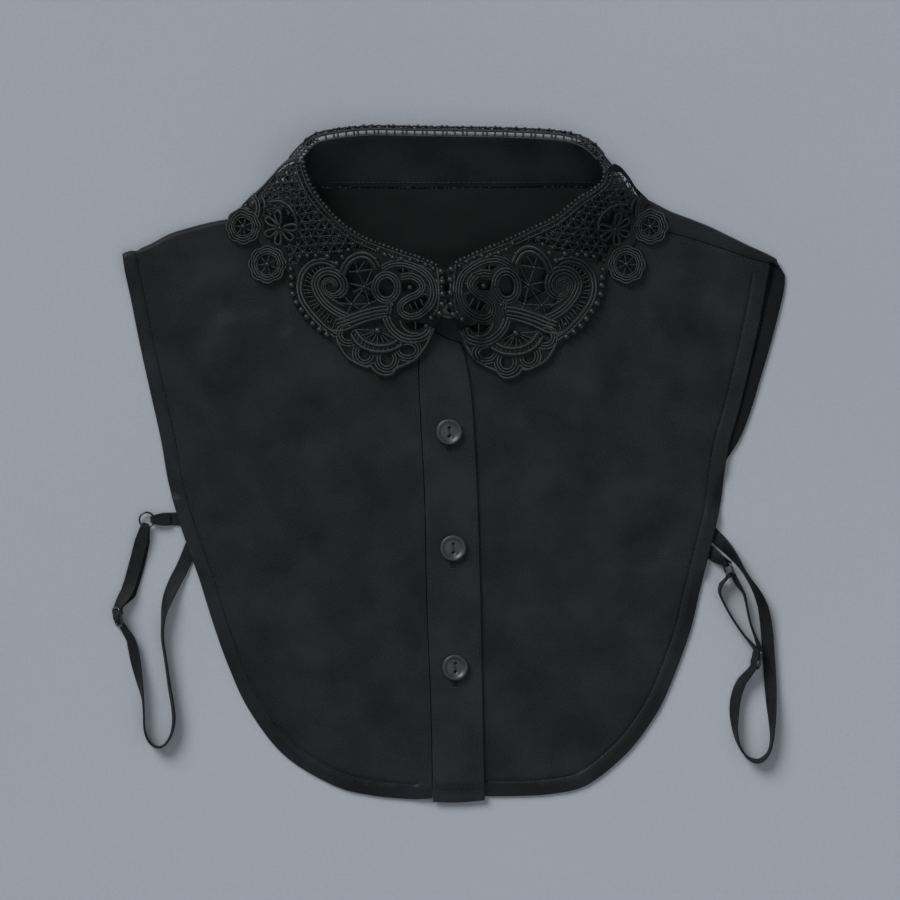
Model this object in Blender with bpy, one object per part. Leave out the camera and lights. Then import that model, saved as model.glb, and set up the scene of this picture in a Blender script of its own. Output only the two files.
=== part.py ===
# A false collar laid flat on its back, seen from above: two fronts with a placket over one back panel, a neck band
# that stands open behind them, a lace collar folded over the band, and an elastic strap at each side.
# The tables are in millimetres, +X to the right, +Y towards the neck, +Z up from the surface that it lies on.

import math

import bpy
import numpy as np
from mathutils.geometry import delaunay_2d_cdt

MM = 0.001

# Driving dimensions
CLOTH = 1.2  # wall of a panel
SEAM = 0.35  # gap that parts two pieces at a seam
BAND_WALL = 1.8  # two layers of cloth and a stiffener
PLACKET_WALL = 1.4
FOLD_RADIUS = 1.6  # of the cloth's middle, at the shoulder folds
RETURN = 3.5  # how far a sheet goes on past the roll of its shoulder fold
BAND_BULGE = 0.7
BAND_FRONT_RISE = 2.3  # the top edge comes up this much where its ends lie over each other
BAND_FRONT_REACH = 35.0
LACE_WALL = 1.0
LACE_ROLL = 4.5  # width over which the lace turns down at its fold
CORD_RISE = 0.9  # raised cords of the lace
BEAD_RISE = 1.5
KNOT_RADIUS, KNOT_RISE = 2.2, 1.1  # at the middle of a roundel
BUTTON_ACROSS = 13.0
BUTTON_THICK = 2.6
BUTTON_HOLE = 0.8  # radius
BUTTON_HOLES_APART = 4.0
BUTTON_ROOM = 3.4  # rise of the lace over the collar button
STRAP_WIDE = 6.5
STRAP_THICK = 1.0
WIRE = 1.0
REST = 0.1  # height of the straps above the surface
LEVEL = 2.7  # usual height of a front's underside
SEAM_LIFT = 1.5  # rise of the left front to the placket's seam
RIM_WIDE = 9.0  # over this width the hem comes down to the surface
RAISED_FROM, RAISED_TO = 101.0, 107.0  # y where the back panel comes up on to the lace below it
EDGES_ONLY = 40.0  # a grid spacing wider than the piece, so that its wall has points on its lines alone

# Neck band, one row for each station from its upper end at the centre front, round the neck, to its lower end.
# bottom x, y, z and top x, y, z of the middle of its wall
BAND = (
    (4.5, 61.0, 7.9, 4.0, 93.5, 17.0),
    (-3.5, 63.8, 7.8, -3.5, 96.0, 17.1),
    (-14.0, 69.5, 7.4, -14.0, 101.5, 16.6),
    (-29.0, 77.5, 6.6, -30.0, 107.0, 16.0),
    (-46.0, 86.5, 6.0, -44.5, 112.5, 17.2),
    (-60.0, 98.0, 5.6, -56.0, 120.0, 20.0),
    (-70.0, 110.0, 5.2, -65.0, 129.5, 22.0),
    (-77.0, 122.0, 6.0, -71.5, 139.0, 23.0),
    (-80.0, 131.0, 7.6, -75.0, 150.0, 22.0),
    (-78.0, 137.2, 5.0, -72.6, 155.4, 20.0),
    (-69.0, 139.0, 3.2, -66.6, 161.0, 16.8),
    (-45.0, 139.0, 2.5, -45.0, 164.3, 15.2),
    (-20.0, 139.0, 2.5, -20.0, 164.2, 15.0),
    (5.0, 139.0, 2.5, 5.0, 163.8, 15.0),
    (30.0, 139.2, 2.5, 30.0, 163.3, 15.0),
    (55.0, 139.6, 2.5, 53.0, 161.8, 15.4),
    (69.0, 139.4, 3.2, 64.6, 158.4, 16.8),
    (79.0, 137.6, 5.0, 71.8, 151.6, 19.8),
    (82.5, 131.0, 7.6, 75.4, 145.0, 22.0),
    (79.0, 121.5, 6.0, 72.5, 138.5, 23.0),
    (70.0, 109.5, 5.0, 62.0, 131.5, 22.0),
    (59.0, 97.5, 5.2, 50.5, 122.5, 20.0),
    (44.0, 87.0, 5.2, 37.0, 116.0, 17.0),
    (28.0, 79.0, 5.2, 25.0, 110.5, 15.2),
    (12.0, 70.5, 5.2, 8.0, 103.5, 14.8),
    (-3.5, 64.9, 5.2, -3.5, 97.2, 14.6),
    (-11.0, 68.7, 5.2, -11.0, 100.8, 14.4),
)

# Edges, x and y
HEM_LEFT = (
    (-165.3, 105.1), (-164.2, 97.0), (-160.7, 80.0), (-156.2, 57.5), (-151.2, 35.0), (-146.2, 12.5), (-142.2, -10.0),
    (-135.7, -32.5), (-127.7, -55.0), (-120.7, -77.5), (-112.7, -100.0), (-102.2, -122.5), (-84.7, -145.0),
    (-60.2, -160.0), (-41.7, -165.0), (-21.7, -167.0), (-10.9, -166.6),
)
HEM_RIGHT = (
    (157.9, 98.9), (156.4, 90.0), (153.2, 72.5), (148.2, 50.0), (143.2, 29.0), (137.2, 7.5), (133.7, -17.5),
    (130.7, -32.5), (123.2, -62.5), (117.7, -85.0), (106.2, -115.0), (97.7, -130.0), (85.7, -145.0), (66.7, -160.0),
    (48.2, -164.5), (28.2, -165.5), (13.2, -165.5), (-5.0, -165.2),
)
PLACKET_SEAM = (
    (-17.6, 70.2), (-17.2, 45.0), (-16.2, 22.5), (-14.2, -17.5), (-13.2, -67.5), (-11.2, -117.5), (-10.2, -168.4),
)
PLACKET_EDGE = (
    (5.0, 58.3), (7.7, 45.0), (9.3, 32.5), (10.7, 12.5), (12.2, -17.5), (13.7, -67.5), (14.7, -117.5), (15.7, -167.5),
)
PLACKET_HEM = (-163.5, -158.5)  # y of the lines across its lower end
UNDER_LAP = ((-12.0, 64.0), (-10.5, 0.0), (-7.0, -100.0), (-5.0, -165.2))
BACK_RIGHT = (
    (165.7, 95.0), (165.2, 87.5), (161.7, 72.5), (157.7, 57.5), (153.2, 42.5), (148.7, 27.5), (142.7, 12.5),
    (132.0, -5.0), (121.0, -30.0), (112.5, -58.0), (103.0, -92.0), (91.0, -121.0), (72.0, -143.0), (48.0, -155.0),
    (0.0, -158.0), (-40.0, -157.0), (-60.0, -151.0), (-80.0, -139.0), (-96.0, -118.0), (-106.0, -96.0),
    (-114.0, -73.0), (-121.5, -50.0), (-129.5, -28.0), (-136.0, -6.0), (-140.0, 13.0), (-145.0, 35.0), (-150.0, 57.0),
    (-154.5, 80.0), (-157.6, 99.0),
)
SHOULDER_LEFT = (
    (-165.6, 105.3), (-153.2, 109.5), (-141.7, 115.5), (-131.7, 118.6), (-121.7, 121.2), (-112.0, 123.0),
    (-104.0, 124.5), (-95.0, 127.3), (-87.0, 131.0), (-81.5, 134.5),
)
SHOULDER_RIGHT = (
    (82.5, 138.5), (90.0, 135.3), (98.2, 132.0), (108.2, 126.8), (118.2, 123.0), (128.2, 119.0), (138.2, 114.2),
    (148.2, 109.3), (158.2, 104.8), (163.5, 101.5),
)
STRIP_NECK = ((86.0, 131.0), (85.2, 127.0))  # neck edge of what the back panel returns over the fold
SEAM_RIGHT = (
    (84.8, 123.0), (95.0, 119.6), (109.2, 115.5), (118.2, 113.0), (133.2, 108.2), (148.2, 103.0), (157.5, 100.6),
)

# Soft swellings of the fronts: centre x, y, spread x, y and rise
SWELLS = (
    (-3.0, 72.0, 95.0, 42.0, 2.0),
    (-75.0, 40.0, 52.0, 58.0, 1.2),
    (70.0, 35.0, 50.0, 58.0, 1.1),
    (0.0, -80.0, 90.0, 60.0, 0.5),
)
# Largest folds: start x, y, end x, y, half width and rise, below zero for a trough
FOLDS = (
    (-88.0, 85.0, -119.0, 80.0, 8.0, -1.0),
    (-119.0, 80.0, -130.0, 60.0, 8.0, -1.1),
    (-104.0, 66.0, -82.0, 62.0, 9.0, 0.8),
    (-132.0, 24.0, -110.0, 4.0, 8.0, -1.0),
    (-122.0, -4.0, -80.0, -18.0, 10.0, -0.8),
    (96.0, 90.0, 118.0, 83.0, 7.0, -1.1),
    (118.0, 83.0, 127.0, 62.0, 7.0, -1.2),
    (94.0, 76.0, 112.0, 68.0, 8.0, 0.8),
    (92.0, 50.0, 93.0, 0.0, 13.0, -1.0),
    (118.0, -22.0, 96.0, -42.0, 9.0, -1.3),
    (96.0, -42.0, 90.0, -70.0, 8.0, -1.0),
    (34.0, -118.0, 37.0, -148.0, 6.0, -0.7),
    (-22.0, -138.0, -20.0, -158.0, 5.0, -0.8),
)
# Places where a strap or its tab lies below the hem: x, y
STRAP_PASSES = ((-137.0, -27.0), (-133.0, -44.5), (130.0, -35.0), (128.5, -44.0))

BUTTONS = ((-2.2, 16.5), (-0.2, -41.5), (0.8, -101.0))
COLLAR_BUTTON = (-2.2, 79.5)

# The lace of the left front
LACE_FOLD_EDGE = (
    (-79.6, 154.0), (-83.0, 152.4), (-88.2, 147.3), (-94.7, 140.0), (-103.2, 132.5), (-107.7, 127.2),
)
LACE_SIDE_EDGE = ((-75.9, 151.9), (-77.4, 152.7))  # from the band's top edge to the fold
ROUNDELS = ((-105.2, 120.0, 8.4), (-92.7, 100.0, 9.2))  # centre x, y and radius
EDGE_BEADS = (
    (-80.7, 93.5), (-80.6, 89.5), (-80.0, 85.2), (-78.2, 80.9), (-75.7, 77.2), (-73.0, 73.7), (-70.0, 70.3),
    (-66.6, 67.5), (-63.0, 65.0),
)
SCALLOPED_EDGE = (
    (-59.7, 61.5), (-56.7, 57.0), (-53.2, 52.3), (-48.2, 49.5), (-43.2, 47.5), (-40.9, 48.0), (-39.2, 45.0),
    (-34.7, 43.5), (-30.2, 44.0), (-27.4, 47.2), (-22.7, 49.0), (-17.7, 52.0), (-13.7, 57.0), (-10.7, 62.5),
    (-9.6, 69.0),
)
FRONT_BEADS = ((-6.6, 75.5), (-5.5, 80.0), (-5.3, 85.0), (-5.3, 90.5), (-6.0, 96.0))
BEAD_RADIUS = 1.65
# Openings over 4 mm: centre x, y and half widths x, y
GAPS = (
    (-33.2, 88.5, 3.6, 4.2),
    (-52.2, 65.0, 2.9, 2.5),
    (-44.2, 56.0, 2.6, 3.1),
    (-33.2, 53.8, 2.9, 3.4),
    (-22.7, 57.2, 3.6, 2.3),
    (-44.0, 69.0, 2.6, 2.1),
    (-41.0, 63.0, 2.2, 2.2),
    (-20.7, 67.9, 2.9, 2.6),
    (-14.4, 69.6, 2.2, 2.4),
    (-21.9, 88.8, 3.0, 2.2),
    (-20.4, 78.6, 2.2, 2.1),
    (-14.4, 81.0, 2.2, 2.3),
    (-29.0, 78.8, 2.1, 2.6),
    (-51.0, 79.8, 2.6, 2.1),
    (-45.4, 84.4, 2.2, 2.3),
    (-40.6, 81.0, 2.2, 2.1),
    (-48.9, 96.4, 2.2, 2.3),
    (-43.2, 97.6, 2.1, 2.4),
    (-44.8, 91.0, 2.2, 2.1),
    (-95.6, 118.0, 2.1, 2.5),
    (-89.4, 110.0, 2.3, 2.1),
    (-81.4, 104.0, 2.2, 2.3),
)
# Raised cords: half width, rise and the points that they follow
CORDS = (
    (1.5, 1.0, ((-58.2, 98.5), (-64.2, 101.5), (-70.7, 100.0), (-75.2, 95.0), (-76.7, 87.5), (-74.2, 80.0),
                (-69.2, 73.5), (-63.7, 68.0), (-58.4, 64.4))),
    (2.6, 1.0, ((-54.2, 75.0), (-61.7, 79.0), (-66.6, 84.5), (-68.4, 91.0), (-65.2, 95.6), (-59.7, 95.0),
                (-55.0, 91.0), (-55.0, 86.5), (-59.8, 86.0))),
    (1.4, 0.9, ((-55.2, 95.0), (-52.4, 101.0), (-46.2, 104.4), (-40.0, 102.4), (-36.6, 97.6))),
    (2.4, 1.0, ((-57.6, 70.6), (-52.2, 72.6), (-45.7, 74.2), (-38.7, 76.0), (-32.9, 77.4))),
    (1.6, 1.1, ((-30.0, 83.0), (-27.6, 88.5), (-30.0, 94.4), (-34.6, 95.0), (-38.4, 91.5), (-38.4, 86.0),
                (-35.0, 82.6))),
    (1.7, 1.1, ((-34.5, 97.8), (-30.5, 99.8), (-22.7, 99.0), (-14.6, 95.5), (-9.6, 89.0), (-9.8, 82.0),
                (-14.2, 75.9), (-21.0, 73.8), (-25.4, 76.8), (-24.6, 81.2), (-19.4, 84.4), (-15.2, 88.0),
                (-18.0, 92.4), (-24.7, 93.6))),
    (2.0, 1.1, ((-32.0, 72.0), (-29.6, 66.8), (-25.2, 63.4), (-18.6, 62.9), (-13.0, 65.6))),
    (1.3, 0.9, ((-47.5, 65.0), (-44.5, 60.5), (-38.5, 58.6), (-32.0, 59.0), (-28.0, 61.4))),
    (1.2, 0.9, ((-53.0, 60.5), (-50.5, 54.4), (-44.5, 51.0), (-39.6, 54.0), (-37.6, 49.4), (-33.2, 48.0),
                (-28.8, 50.4), (-26.8, 53.6), (-21.8, 52.8), (-16.6, 57.0))),
)
PETALS = (100.0, 150.0, 205.0, 255.0, 320.0, 5.0)  # directions of the flower's loops, in degrees
FLOWER = (-86.3, 118.4)
PETAL_REACH = 8.4

# The back stretch of the lace, flat under the back panel: outer edge x, y
LACE_BACK_EDGE = (
    (-80.5, 151.0), (-88.0, 146.3), (-94.5, 139.2), (-103.0, 131.7), (-107.2, 124.0), (-104.0, 116.5), (-97.0, 114.5),
    (-91.0, 118.5), (-84.0, 116.5), (-77.0, 112.0), (-69.0, 113.5), (-63.0, 119.0), (-55.0, 116.5), (-47.0, 112.0),
    (-39.0, 113.5), (-32.0, 118.5), (-23.0, 116.0), (-14.0, 111.5), (-4.0, 112.0), (5.0, 117.5), (14.0, 116.0),
    (22.0, 111.8), (31.0, 112.6), (38.0, 118.0), (46.0, 115.8), (54.0, 112.0), (62.0, 113.2), (69.0, 118.5),
    (77.0, 115.5), (86.0, 113.5), (95.0, 116.5), (98.5, 123.0), (96.5, 129.5), (91.5, 135.2), (86.0, 139.2),
    (80.6, 145.4),
)
LACE_BACK_ENDS = (154.6, 149.0)  # y on the band's top edge where it starts to turn up, left and right
# How the back stretch turns up round the band's top edge: length past its fold, how far out from the edge, how high
LACE_TURN = (
    (0.0, 0.6, 0.5), (2.6, 3.0, 1.3), (5.0, 3.8, 3.4), (10.0, 3.6, 8.2), (14.8, 2.8, 12.9), (18.4, 1.3, 16.0),
    (21.0, -1.1, 17.2),
)
BACK_GAPS = tuple((x, y, 2.3, 2.7) for x in (-70.0, -40.5, -10.0, 20.5, 54.0) for y in (121.5, 131.0)) + tuple(
    (x, 145.0, 2.6, 3.0) for x in (-62.0, -42.0, -22.0, -2.0, 18.0, 38.0, 58.0)
)

# Elastic straps. Each row is x, y, roll in degrees (0 lies flat, 90 stands on edge) and lift above the surface.
# The loop runs from below the hem to the slider.
LOOP_LEFT = (
    (-130.4, -38.8, 0, 0), (-133.0, -45.4, 0, 0), (-135.8, -51.9, 4, 0), (-139.3, -58.6, 14, 0),
    (-142.3, -65.6, 32, 0), (-144.2, -72.0, 58, 0), (-145.1, -78.5, 76, 0), (-145.3, -87.0, 80, 0),
    (-143.6, -98.4, 80, 0), (-141.8, -111.0, 78, 0), (-140.2, -120.5, 77, 0), (-139.7, -128.0, 78, 0),
    (-141.0, -134.6, 84, 0), (-143.8, -139.2, 88, 0), (-147.0, -141.0, 90, 0), (-150.6, -139.7, 90, 0),
    (-153.2, -136.0, 91, 0), (-154.4, -131.0, 92, 0), (-154.7, -124.0, 93, 0), (-155.2, -116.5, 98, 0),
    (-157.0, -107.0, 122, 0), (-158.8, -98.0, 142, 0), (-160.2, -91.0, 142, 0), (-161.9, -85.6, 130, 0),
    (-165.4, -81.8, 112, 0),
)
LOOP_RIGHT = (
    (125.4, -30.2, 0, 0), (129.3, -34.2, 0, 0), (133.4, -38.2, 16, 0), (137.6, -42.7, 40, 0), (141.3, -47.4, 62, 0),
    (144.6, -52.4, 78, 0), (147.9, -57.5, 76, 0), (151.0, -62.5, 62, 0), (153.4, -67.5, 48, 0), (155.1, -73.0, 36, 0),
    (156.6, -83.0, 24, 0), (157.7, -96.0, 20, 0), (158.3, -108.0, 24, 0), (158.8, -118.5, 40, 0),
    (159.2, -128.0, 62, 0), (159.1, -136.5, 80, 0), (157.6, -143.2, 84, 0), (154.0, -147.3, 76, 0),
    (149.8, -147.6, 78, 0), (145.6, -144.8, 88, 0), (142.4, -139.2, 96, 0), (140.6, -132.0, 110, 0),
    (140.3, -123.0, 134, 0), (141.3, -115.5, 140, 0), (143.6, -109.0, 136, 0), (146.4, -105.0, 120, 0),
    (148.9, -103.1, 108, 0),
)
# Rings: centre x, y, z, heading of the doubled strap and lean of the ring, both in degrees
RING_LEFT = (-153.2, -27.4, 2.1, -104.5, 0)
RING_RIGHT = (137.4, -52.2, 4.2, -72.0, 60)
RING_REACH = 3.7  # to the middle of its wire
BEND = 1.45  # of a strap's middle round the wire
BEND_HALF = 2.4  # half the strap's width where it is gathered in the ring
# Strands from a ring outwards, the one that is uppermost at the ring first
DOUBLE_LEFT = (
    ((-156.0, -38.0, 0, 2.3), (-158.7, -48.5, 0, 1.5), (-161.6, -59.0, 4, 1.4), (-164.2, -66.0, 22, 1.4),
     (-165.8, -69.6, 40, 1.4)),
    ((-155.0, -38.2, 0, 0), (-157.2, -48.5, 0, 0), (-160.2, -59.0, 0, 0), (-162.6, -66.4, 0, 0), (-163.6, -69.6, 0, 0)),
)
DOUBLE_RIGHT = (
    ((133.8, -59.4, 78, 0.3), (132.8, -63.2, 86, 0), (134.6, -68.0, 90, 0), (138.0, -74.4, 90, 0),
     (142.2, -81.0, 90, 0), (146.6, -87.0, 88, 0), (149.4, -91.0, 84, 0)),
    ((142.4, -60.0, 76, 0.3), (145.2, -64.6, 86, 0), (146.6, -71.0, 90, 0), (148.2, -78.5, 90, 0),
     (150.6, -85.6, 88, 0), (152.2, -91.0, 84, 0)),
)
TAB_LEFT = (
    ((-145.2, -27.1, 0, 1.9), (-141.8, -27.0, 0, 1.4)),
    ((-145.0, -27.1, 0, 0), (-138.0, -26.9, 0, 0), (-131.8, -26.7, 0, 0)),
)
TAB_RIGHT = (
    ((132.4, -46.9, -34, 1.9), (130.4, -45.0, -20, 1.5)),
    ((132.0, -46.6, -30, 0.2), (128.4, -43.6, -8, 0), (123.2, -39.8, 0, 0)),
)
TAB_TURN_LEFT, TAB_TURN_RIGHT = 106.5, 180  # from the doubled strap's direction to the tab's, in degrees
SLIDER = (10.5, 8.4, 1.3, 1.2)  # length, width, frame and thickness
SLIDER_CORNERS = (2.2, 1.1)  # outside and of its windows
SLIDER_LEFT = (-167.6, -75.8, 4.3, -76.0, 60)
SLIDER_RIGHT = (151.3, -96.9, 4.3, -100.0, 60)


def spline(points, step, closed=False):
    """A smooth line through the points, cut into equal steps."""
    points = np.array(points, float)
    n = len(points)
    fine = []
    for i in range(n if closed else n - 1):
        a, b, c, d = (points[k % n] if closed else points[min(max(k, 0), n - 1)] for k in range(i - 1, i + 3))
        for t in np.linspace(0, 1, 12, endpoint=False):
            fine.append(b + 0.5 * t * (c - a + t * (2 * a - 5 * b + 4 * c - d + t * (3 * b - a - 3 * c + d))))
    fine.append(points[0] if closed else points[-1])
    fine = np.array(fine)
    along = np.r_[0, np.cumsum(np.linalg.norm(np.diff(fine[:, :2], axis=0), axis=1))]
    at = np.linspace(0, along[-1], max(2, round(along[-1] / step)) + 1)
    line = np.stack([np.interp(at, along, column) for column in fine.T], axis=1)
    return line[:-1] if closed else line


def joined(*runs):
    """Runs of points as one closed loop, without the points that two runs share."""
    loop = [runs[0][0]]
    for point in np.concatenate(runs)[1:]:
        if np.linalg.norm(point - loop[-1]) > 0.4:
            loop.append(point)
    if np.linalg.norm(loop[0] - loop[-1]) < 0.4:
        loop.pop()
    return np.array(loop)


def inside(points, loop):
    x, y = points[:, :1], points[:, 1:2]
    a, b = loop, np.roll(loop, -1, axis=0)
    crosses = (a[:, 1] > y) != (b[:, 1] > y)
    rise = b[:, 1] - a[:, 1]
    at = a[:, 0] + (y - a[:, 1]) * (b[:, 0] - a[:, 0]) / np.where(rise == 0, 1, rise)
    return (crosses & (x < at)).sum(axis=1) % 2 == 1


def nearest(points, line, closed=False):
    """Distance to a line, the nearest place on it and where that is, as a row number with its fraction."""
    a = line if closed else line[:-1]
    b = np.roll(line, -1, axis=0) if closed else line[1:]
    run = b - a
    share = ((points[:, None] - a) * run).sum(axis=2) / (run * run).sum(axis=1)
    share = np.clip(share, 0, 1)
    place = a + share[..., None] * run
    away = np.linalg.norm(points[:, None] - place, axis=2)
    k = away.argmin(axis=1)
    row = np.arange(len(points))
    return away[row, k], place[row, k], k + share[row, k]


def signed_distance(points, loop):
    """Distance to a closed loop, above zero inside it."""
    away = nearest(points, loop, closed=True)[0]
    return np.where(inside(points, loop), away, -away)


def normals(line):
    """Unit vectors to the left of an open line's direction."""
    run = np.gradient(line, axis=0)
    run /= np.linalg.norm(run, axis=1)[:, None]
    return np.stack([-run[:, 1], run[:, 0]], axis=1)


def soft(x):
    x = np.clip(x, 0, 1)
    return x * x * (3 - 2 * x)


# The fold lines at the shoulders. A sheet's points beyond one go round a roll and come back on the other side.
FOLD_INSET = FOLD_RADIUS + CLOTH / 2
ROLL = math.pi * FOLD_RADIUS


class Fold:
    """A fold along a line that runs with the folded side on its left. rise is 1 to roll up and -1 to roll down."""

    def __init__(self, silhouette, rise):
        edge = spline(silhouette, 4.0)
        self.line = edge - normals(edge) * FOLD_INSET
        self.out = normals(self.line)
        self.rise = rise

    def beyond(self, points):
        away, place, row = nearest(points, self.line)
        low = np.clip(row.astype(int), 0, len(self.out) - 2)
        part = (row - low)[:, None]
        out = self.out[low] * (1 - part) + self.out[low + 1] * part
        side = ((points - place) * out).sum(axis=1)
        return side, place, out, away

    def unfold(self, points):
        """Where plan points that lie on the returned layer are before the sheet is folded."""
        side, place, out, _ = self.beyond(points)
        return place + out * (ROLL - side)[:, None]

    def bend(self, flat):
        """Place of each flat point, its height taken from the sheet's middle, and the upper side's direction."""
        side, place, out, _ = self.beyond(flat)
        turned = side > 0
        angle = np.clip(side / FOLD_RADIUS, 0, math.pi)
        along = np.where(side < ROLL, FOLD_RADIUS * np.sin(angle), ROLL - side)
        plan = np.where(turned[:, None], place + out * along[:, None], flat)
        z = np.where(turned, self.rise * FOLD_RADIUS * (1 - np.cos(angle)), 0)
        up = np.where(turned, np.cos(angle), 1.0)
        lean = np.where(turned, -self.rise * np.sin(angle), 0.0)
        normal = np.column_stack([out * lean[:, None], up])
        return np.column_stack([plan, z]), normal


def band_loops(step):
    """The band's stations, its bottom line moved out past its own wall, and its rows of values."""
    rows = spline(BAND, step)
    along = np.gradient(rows[:, :3], axis=0)
    outer = -np.cross(along, rows[:, 3:] - rows[:, :3])
    outer /= np.linalg.norm(outer, axis=1)[:, None]
    away = normals(rows[:, :2])
    away *= np.sign(-(away * (rows[:, 3:5] - rows[:, :2])).sum(axis=1))[:, None]
    seam = rows[:, :2] + away * (SEAM + BAND_WALL / 2 * np.linalg.norm(outer[:, :2], axis=1))[:, None]
    return rows, outer, seam


fold_left = Fold(SHOULDER_LEFT, -1)
fold_right = Fold(SHOULDER_RIGHT, 1)
band_rows, band_outer, neck_seam = band_loops(5.0)
top_line = spline([row[3:] for row in BAND[1:-1]], 2.0)
front_x, front_y = BAND[1][3:5]
from_front = np.hypot(top_line[:, 0] - front_x, top_line[:, 1] - front_y)
top_line[:, 2] += BAND_FRONT_RISE * soft(1 - from_front / BAND_FRONT_REACH) * (top_line[:, 0] > front_x)
middle_row = len(top_line) // 2
top_left = top_line[:middle_row, :2]
top_left = top_left[(top_left[:, 0] < -7.5) & (top_left[:, 1] < 151.5)]
top_right = top_line[middle_row:, :2][::-1]
top_right = top_right[(top_right[:, 0] > 1.0) & (top_right[:, 1] < 146.5)]


def neck_run(low, high):
    """The panels' neck edge between two of the band's stations."""
    marks = np.array([nearest(np.array([BAND[k][:2]]), neck_seam)[2][0] for k in (low, high)])
    return neck_seam[int(round(marks[0])) : int(round(marks[1])) + 1]


hem_left = spline(HEM_LEFT, 9.0)
hem_right = spline(HEM_RIGHT, 9.0)
placket_seam = spline(PLACKET_SEAM, 10.0)
placket_edge = spline(PLACKET_EDGE, 10.0)


def front_left_outline():
    neck = neck_run(2, 8)
    shoulder = fold_left.line[::-1] + fold_left.out[::-1] * (ROLL + RETURN)
    shoulder = shoulder[::2] if len(shoulder) % 2 else np.vstack([shoulder[:-1:2], shoulder[-1:]])
    seam = placket_seam - [SEAM, 0]
    return joined(neck[1:], [fold_left.line[-1]], shoulder, hem_left, seam[::-1][1:])


def front_right_outline():
    neck = neck_run(19, 26)
    seam = spline(SEAM_RIGHT, 9.0)
    under = spline(UNDER_LAP, 12.0)
    return joined(hem_right, under[::-1], neck[::-1][1:], seam)


def back_outline():
    neck = neck_run(9, 17)
    strip = fold_right.unfold(np.vstack([STRIP_NECK, spline(SEAM_RIGHT, 9.0) + [0.12, SEAM]]))
    left = fold_left.line - fold_left.out * (RETURN + SEAM)
    left = np.vstack([left[::2], left[-1:]])
    return joined(neck[1:-1], strip, spline(BACK_RIGHT, 9.0), left[1:])


front_flat = joined(hem_left, hem_right[::-1], [(150.0, 115.0), (0.0, 175.0), (-150.0, 115.0)])
back_edge = back_outline()
back_flat = joined(spline(BACK_RIGHT, 9.0), [(-150.0, 100.0), (-100.0, 122.0), (-80.0, 130.0), (0.0, 139.0)],
                   [(82.0, 138.0), (120.0, 122.0), (163.0, 101.0)])


def back_underside(points):
    """Flat on the surface, but raised along the shoulders, where the back stretch of the lace lies below."""
    return (LACE_WALL + SEAM) * np.clip((points[:, 1] - RAISED_FROM) / (RAISED_TO - RAISED_FROM), 0, 1)


def front_underside(points, dips=True):
    """Height of the underside of the fronts."""
    x, y = points.T
    height = np.full(len(points), LEVEL)
    for cx, cy, wide, tall, rise in SWELLS:
        height += rise * np.exp(-((((x - cx) / wide) ** 2) + ((y - cy) / tall) ** 2))
    for x0, y0, x1, y1, half, rise in FOLDS:
        if dips or rise > 0:
            away = nearest(points, np.array([(x0, y0), (x1, y1)]))[0]
            height += rise * soft(1 - away / half / 1.6)
    shoulder = np.zeros(len(points))
    for fold in (fold_left, fold_right):
        near = soft(1.2 + fold.beyond(points)[0] / 16)
        height += (2 * FOLD_RADIUS + back_underside(points) - height) * near
        shoulder = np.maximum(shoulder, near)
    below = (CLOTH + SEAM) * soft((signed_distance(points, back_flat) + 4.5) / 3.6)
    below += back_underside(points)
    for px, py in STRAP_PASSES:
        below = np.maximum(below, (STRAP_THICK + 0.8) * soft((14 - np.hypot(x - px, y - py)) / 5))
    rim = np.minimum(nearest(points, hem_left)[0], nearest(points, hem_right)[0])
    rim = np.where(inside(points, front_flat), rim, 0)
    return below + np.maximum(height - below, 0) * np.maximum(soft(rim / RIM_WIDE), shoulder)


def seam_lift(points):
    """How far the left front rises towards the placket that is sewn to it."""
    seam_x = np.interp(-points[:, 1], -placket_seam[:, 1], placket_seam[:, 0])
    return SEAM_LIFT * soft(1 - (seam_x - points[:, 0]) / 14)


def cover(points):
    """Height that clears both fronts and the placket. Stiff lace lies across their troughs."""
    edge_x = np.interp(-points[:, 1], -placket_edge[:, 1], placket_edge[:, 0])
    step = PLACKET_WALL + SEAM
    right = soft(1 - (points[:, 0] - edge_x - 1) / 9)
    return front_underside(points, dips=False) + CLOTH + step * np.minimum(seam_lift(points) / SEAM_LIFT, right)


def band_end_top(points):
    """Height that clears the end of the band that lies uppermost at the centre front."""
    x, y = points.T
    (x0, y0, z0, _, y1, z1), across = BAND[0], BAND[2]
    slope = (across[1] - y0) / (x0 - across[0])
    up = (y - y0 - (x0 - x) * slope) / (y1 - y0)
    over = z0 + (z1 - z0) * np.clip(up, 0, 1) + 0.7 * np.sin(math.pi * np.clip(up, 0, 1)) + 0.7 * BAND_WALL
    return np.where((up > -0.15) & (up < 1.1), over, 0)


def lace_underside(points):
    """From the band's top edge down to the fronts, clear of the band and of the collar button."""
    away, _, row = nearest(points, top_line[:, :2])
    height_at_top = np.interp(row, np.arange(len(top_line)), top_line[:, 2]) + BAND_WALL / 2 + 0.55
    share = np.linspace(0, 1, len(BAND) - 2)
    fall = np.array([1.5 * math.dist(r[:2], r[3:5]) for r in BAND[1:-1]])
    reach = np.interp(row / (len(top_line) - 1), share, fall)
    base = cover(points) + 0.8
    height = base + (height_at_top - base) * np.cos(math.pi / 2 * np.clip(away / reach, 0, 1)) ** 2
    end = band_end_top(points) + 0.35
    height += np.maximum(end - height, 0) * soft(1 - (np.abs(points[:, 0]) - 8) / 9)
    button = np.hypot(points[:, 0] - COLLAR_BUTTON[0], points[:, 1] - COLLAR_BUTTON[1])
    height += BUTTON_ROOM * soft((15 - button) / 7)
    rim = nearest(points, spline(LACE_FOLD_EDGE, 3.0))[0]
    low = LACE_WALL + SEAM
    return low + (height - low) * np.sin(math.pi / 2 * np.clip((rim + 0.4) / LACE_ROLL, 0, 1))


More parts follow.
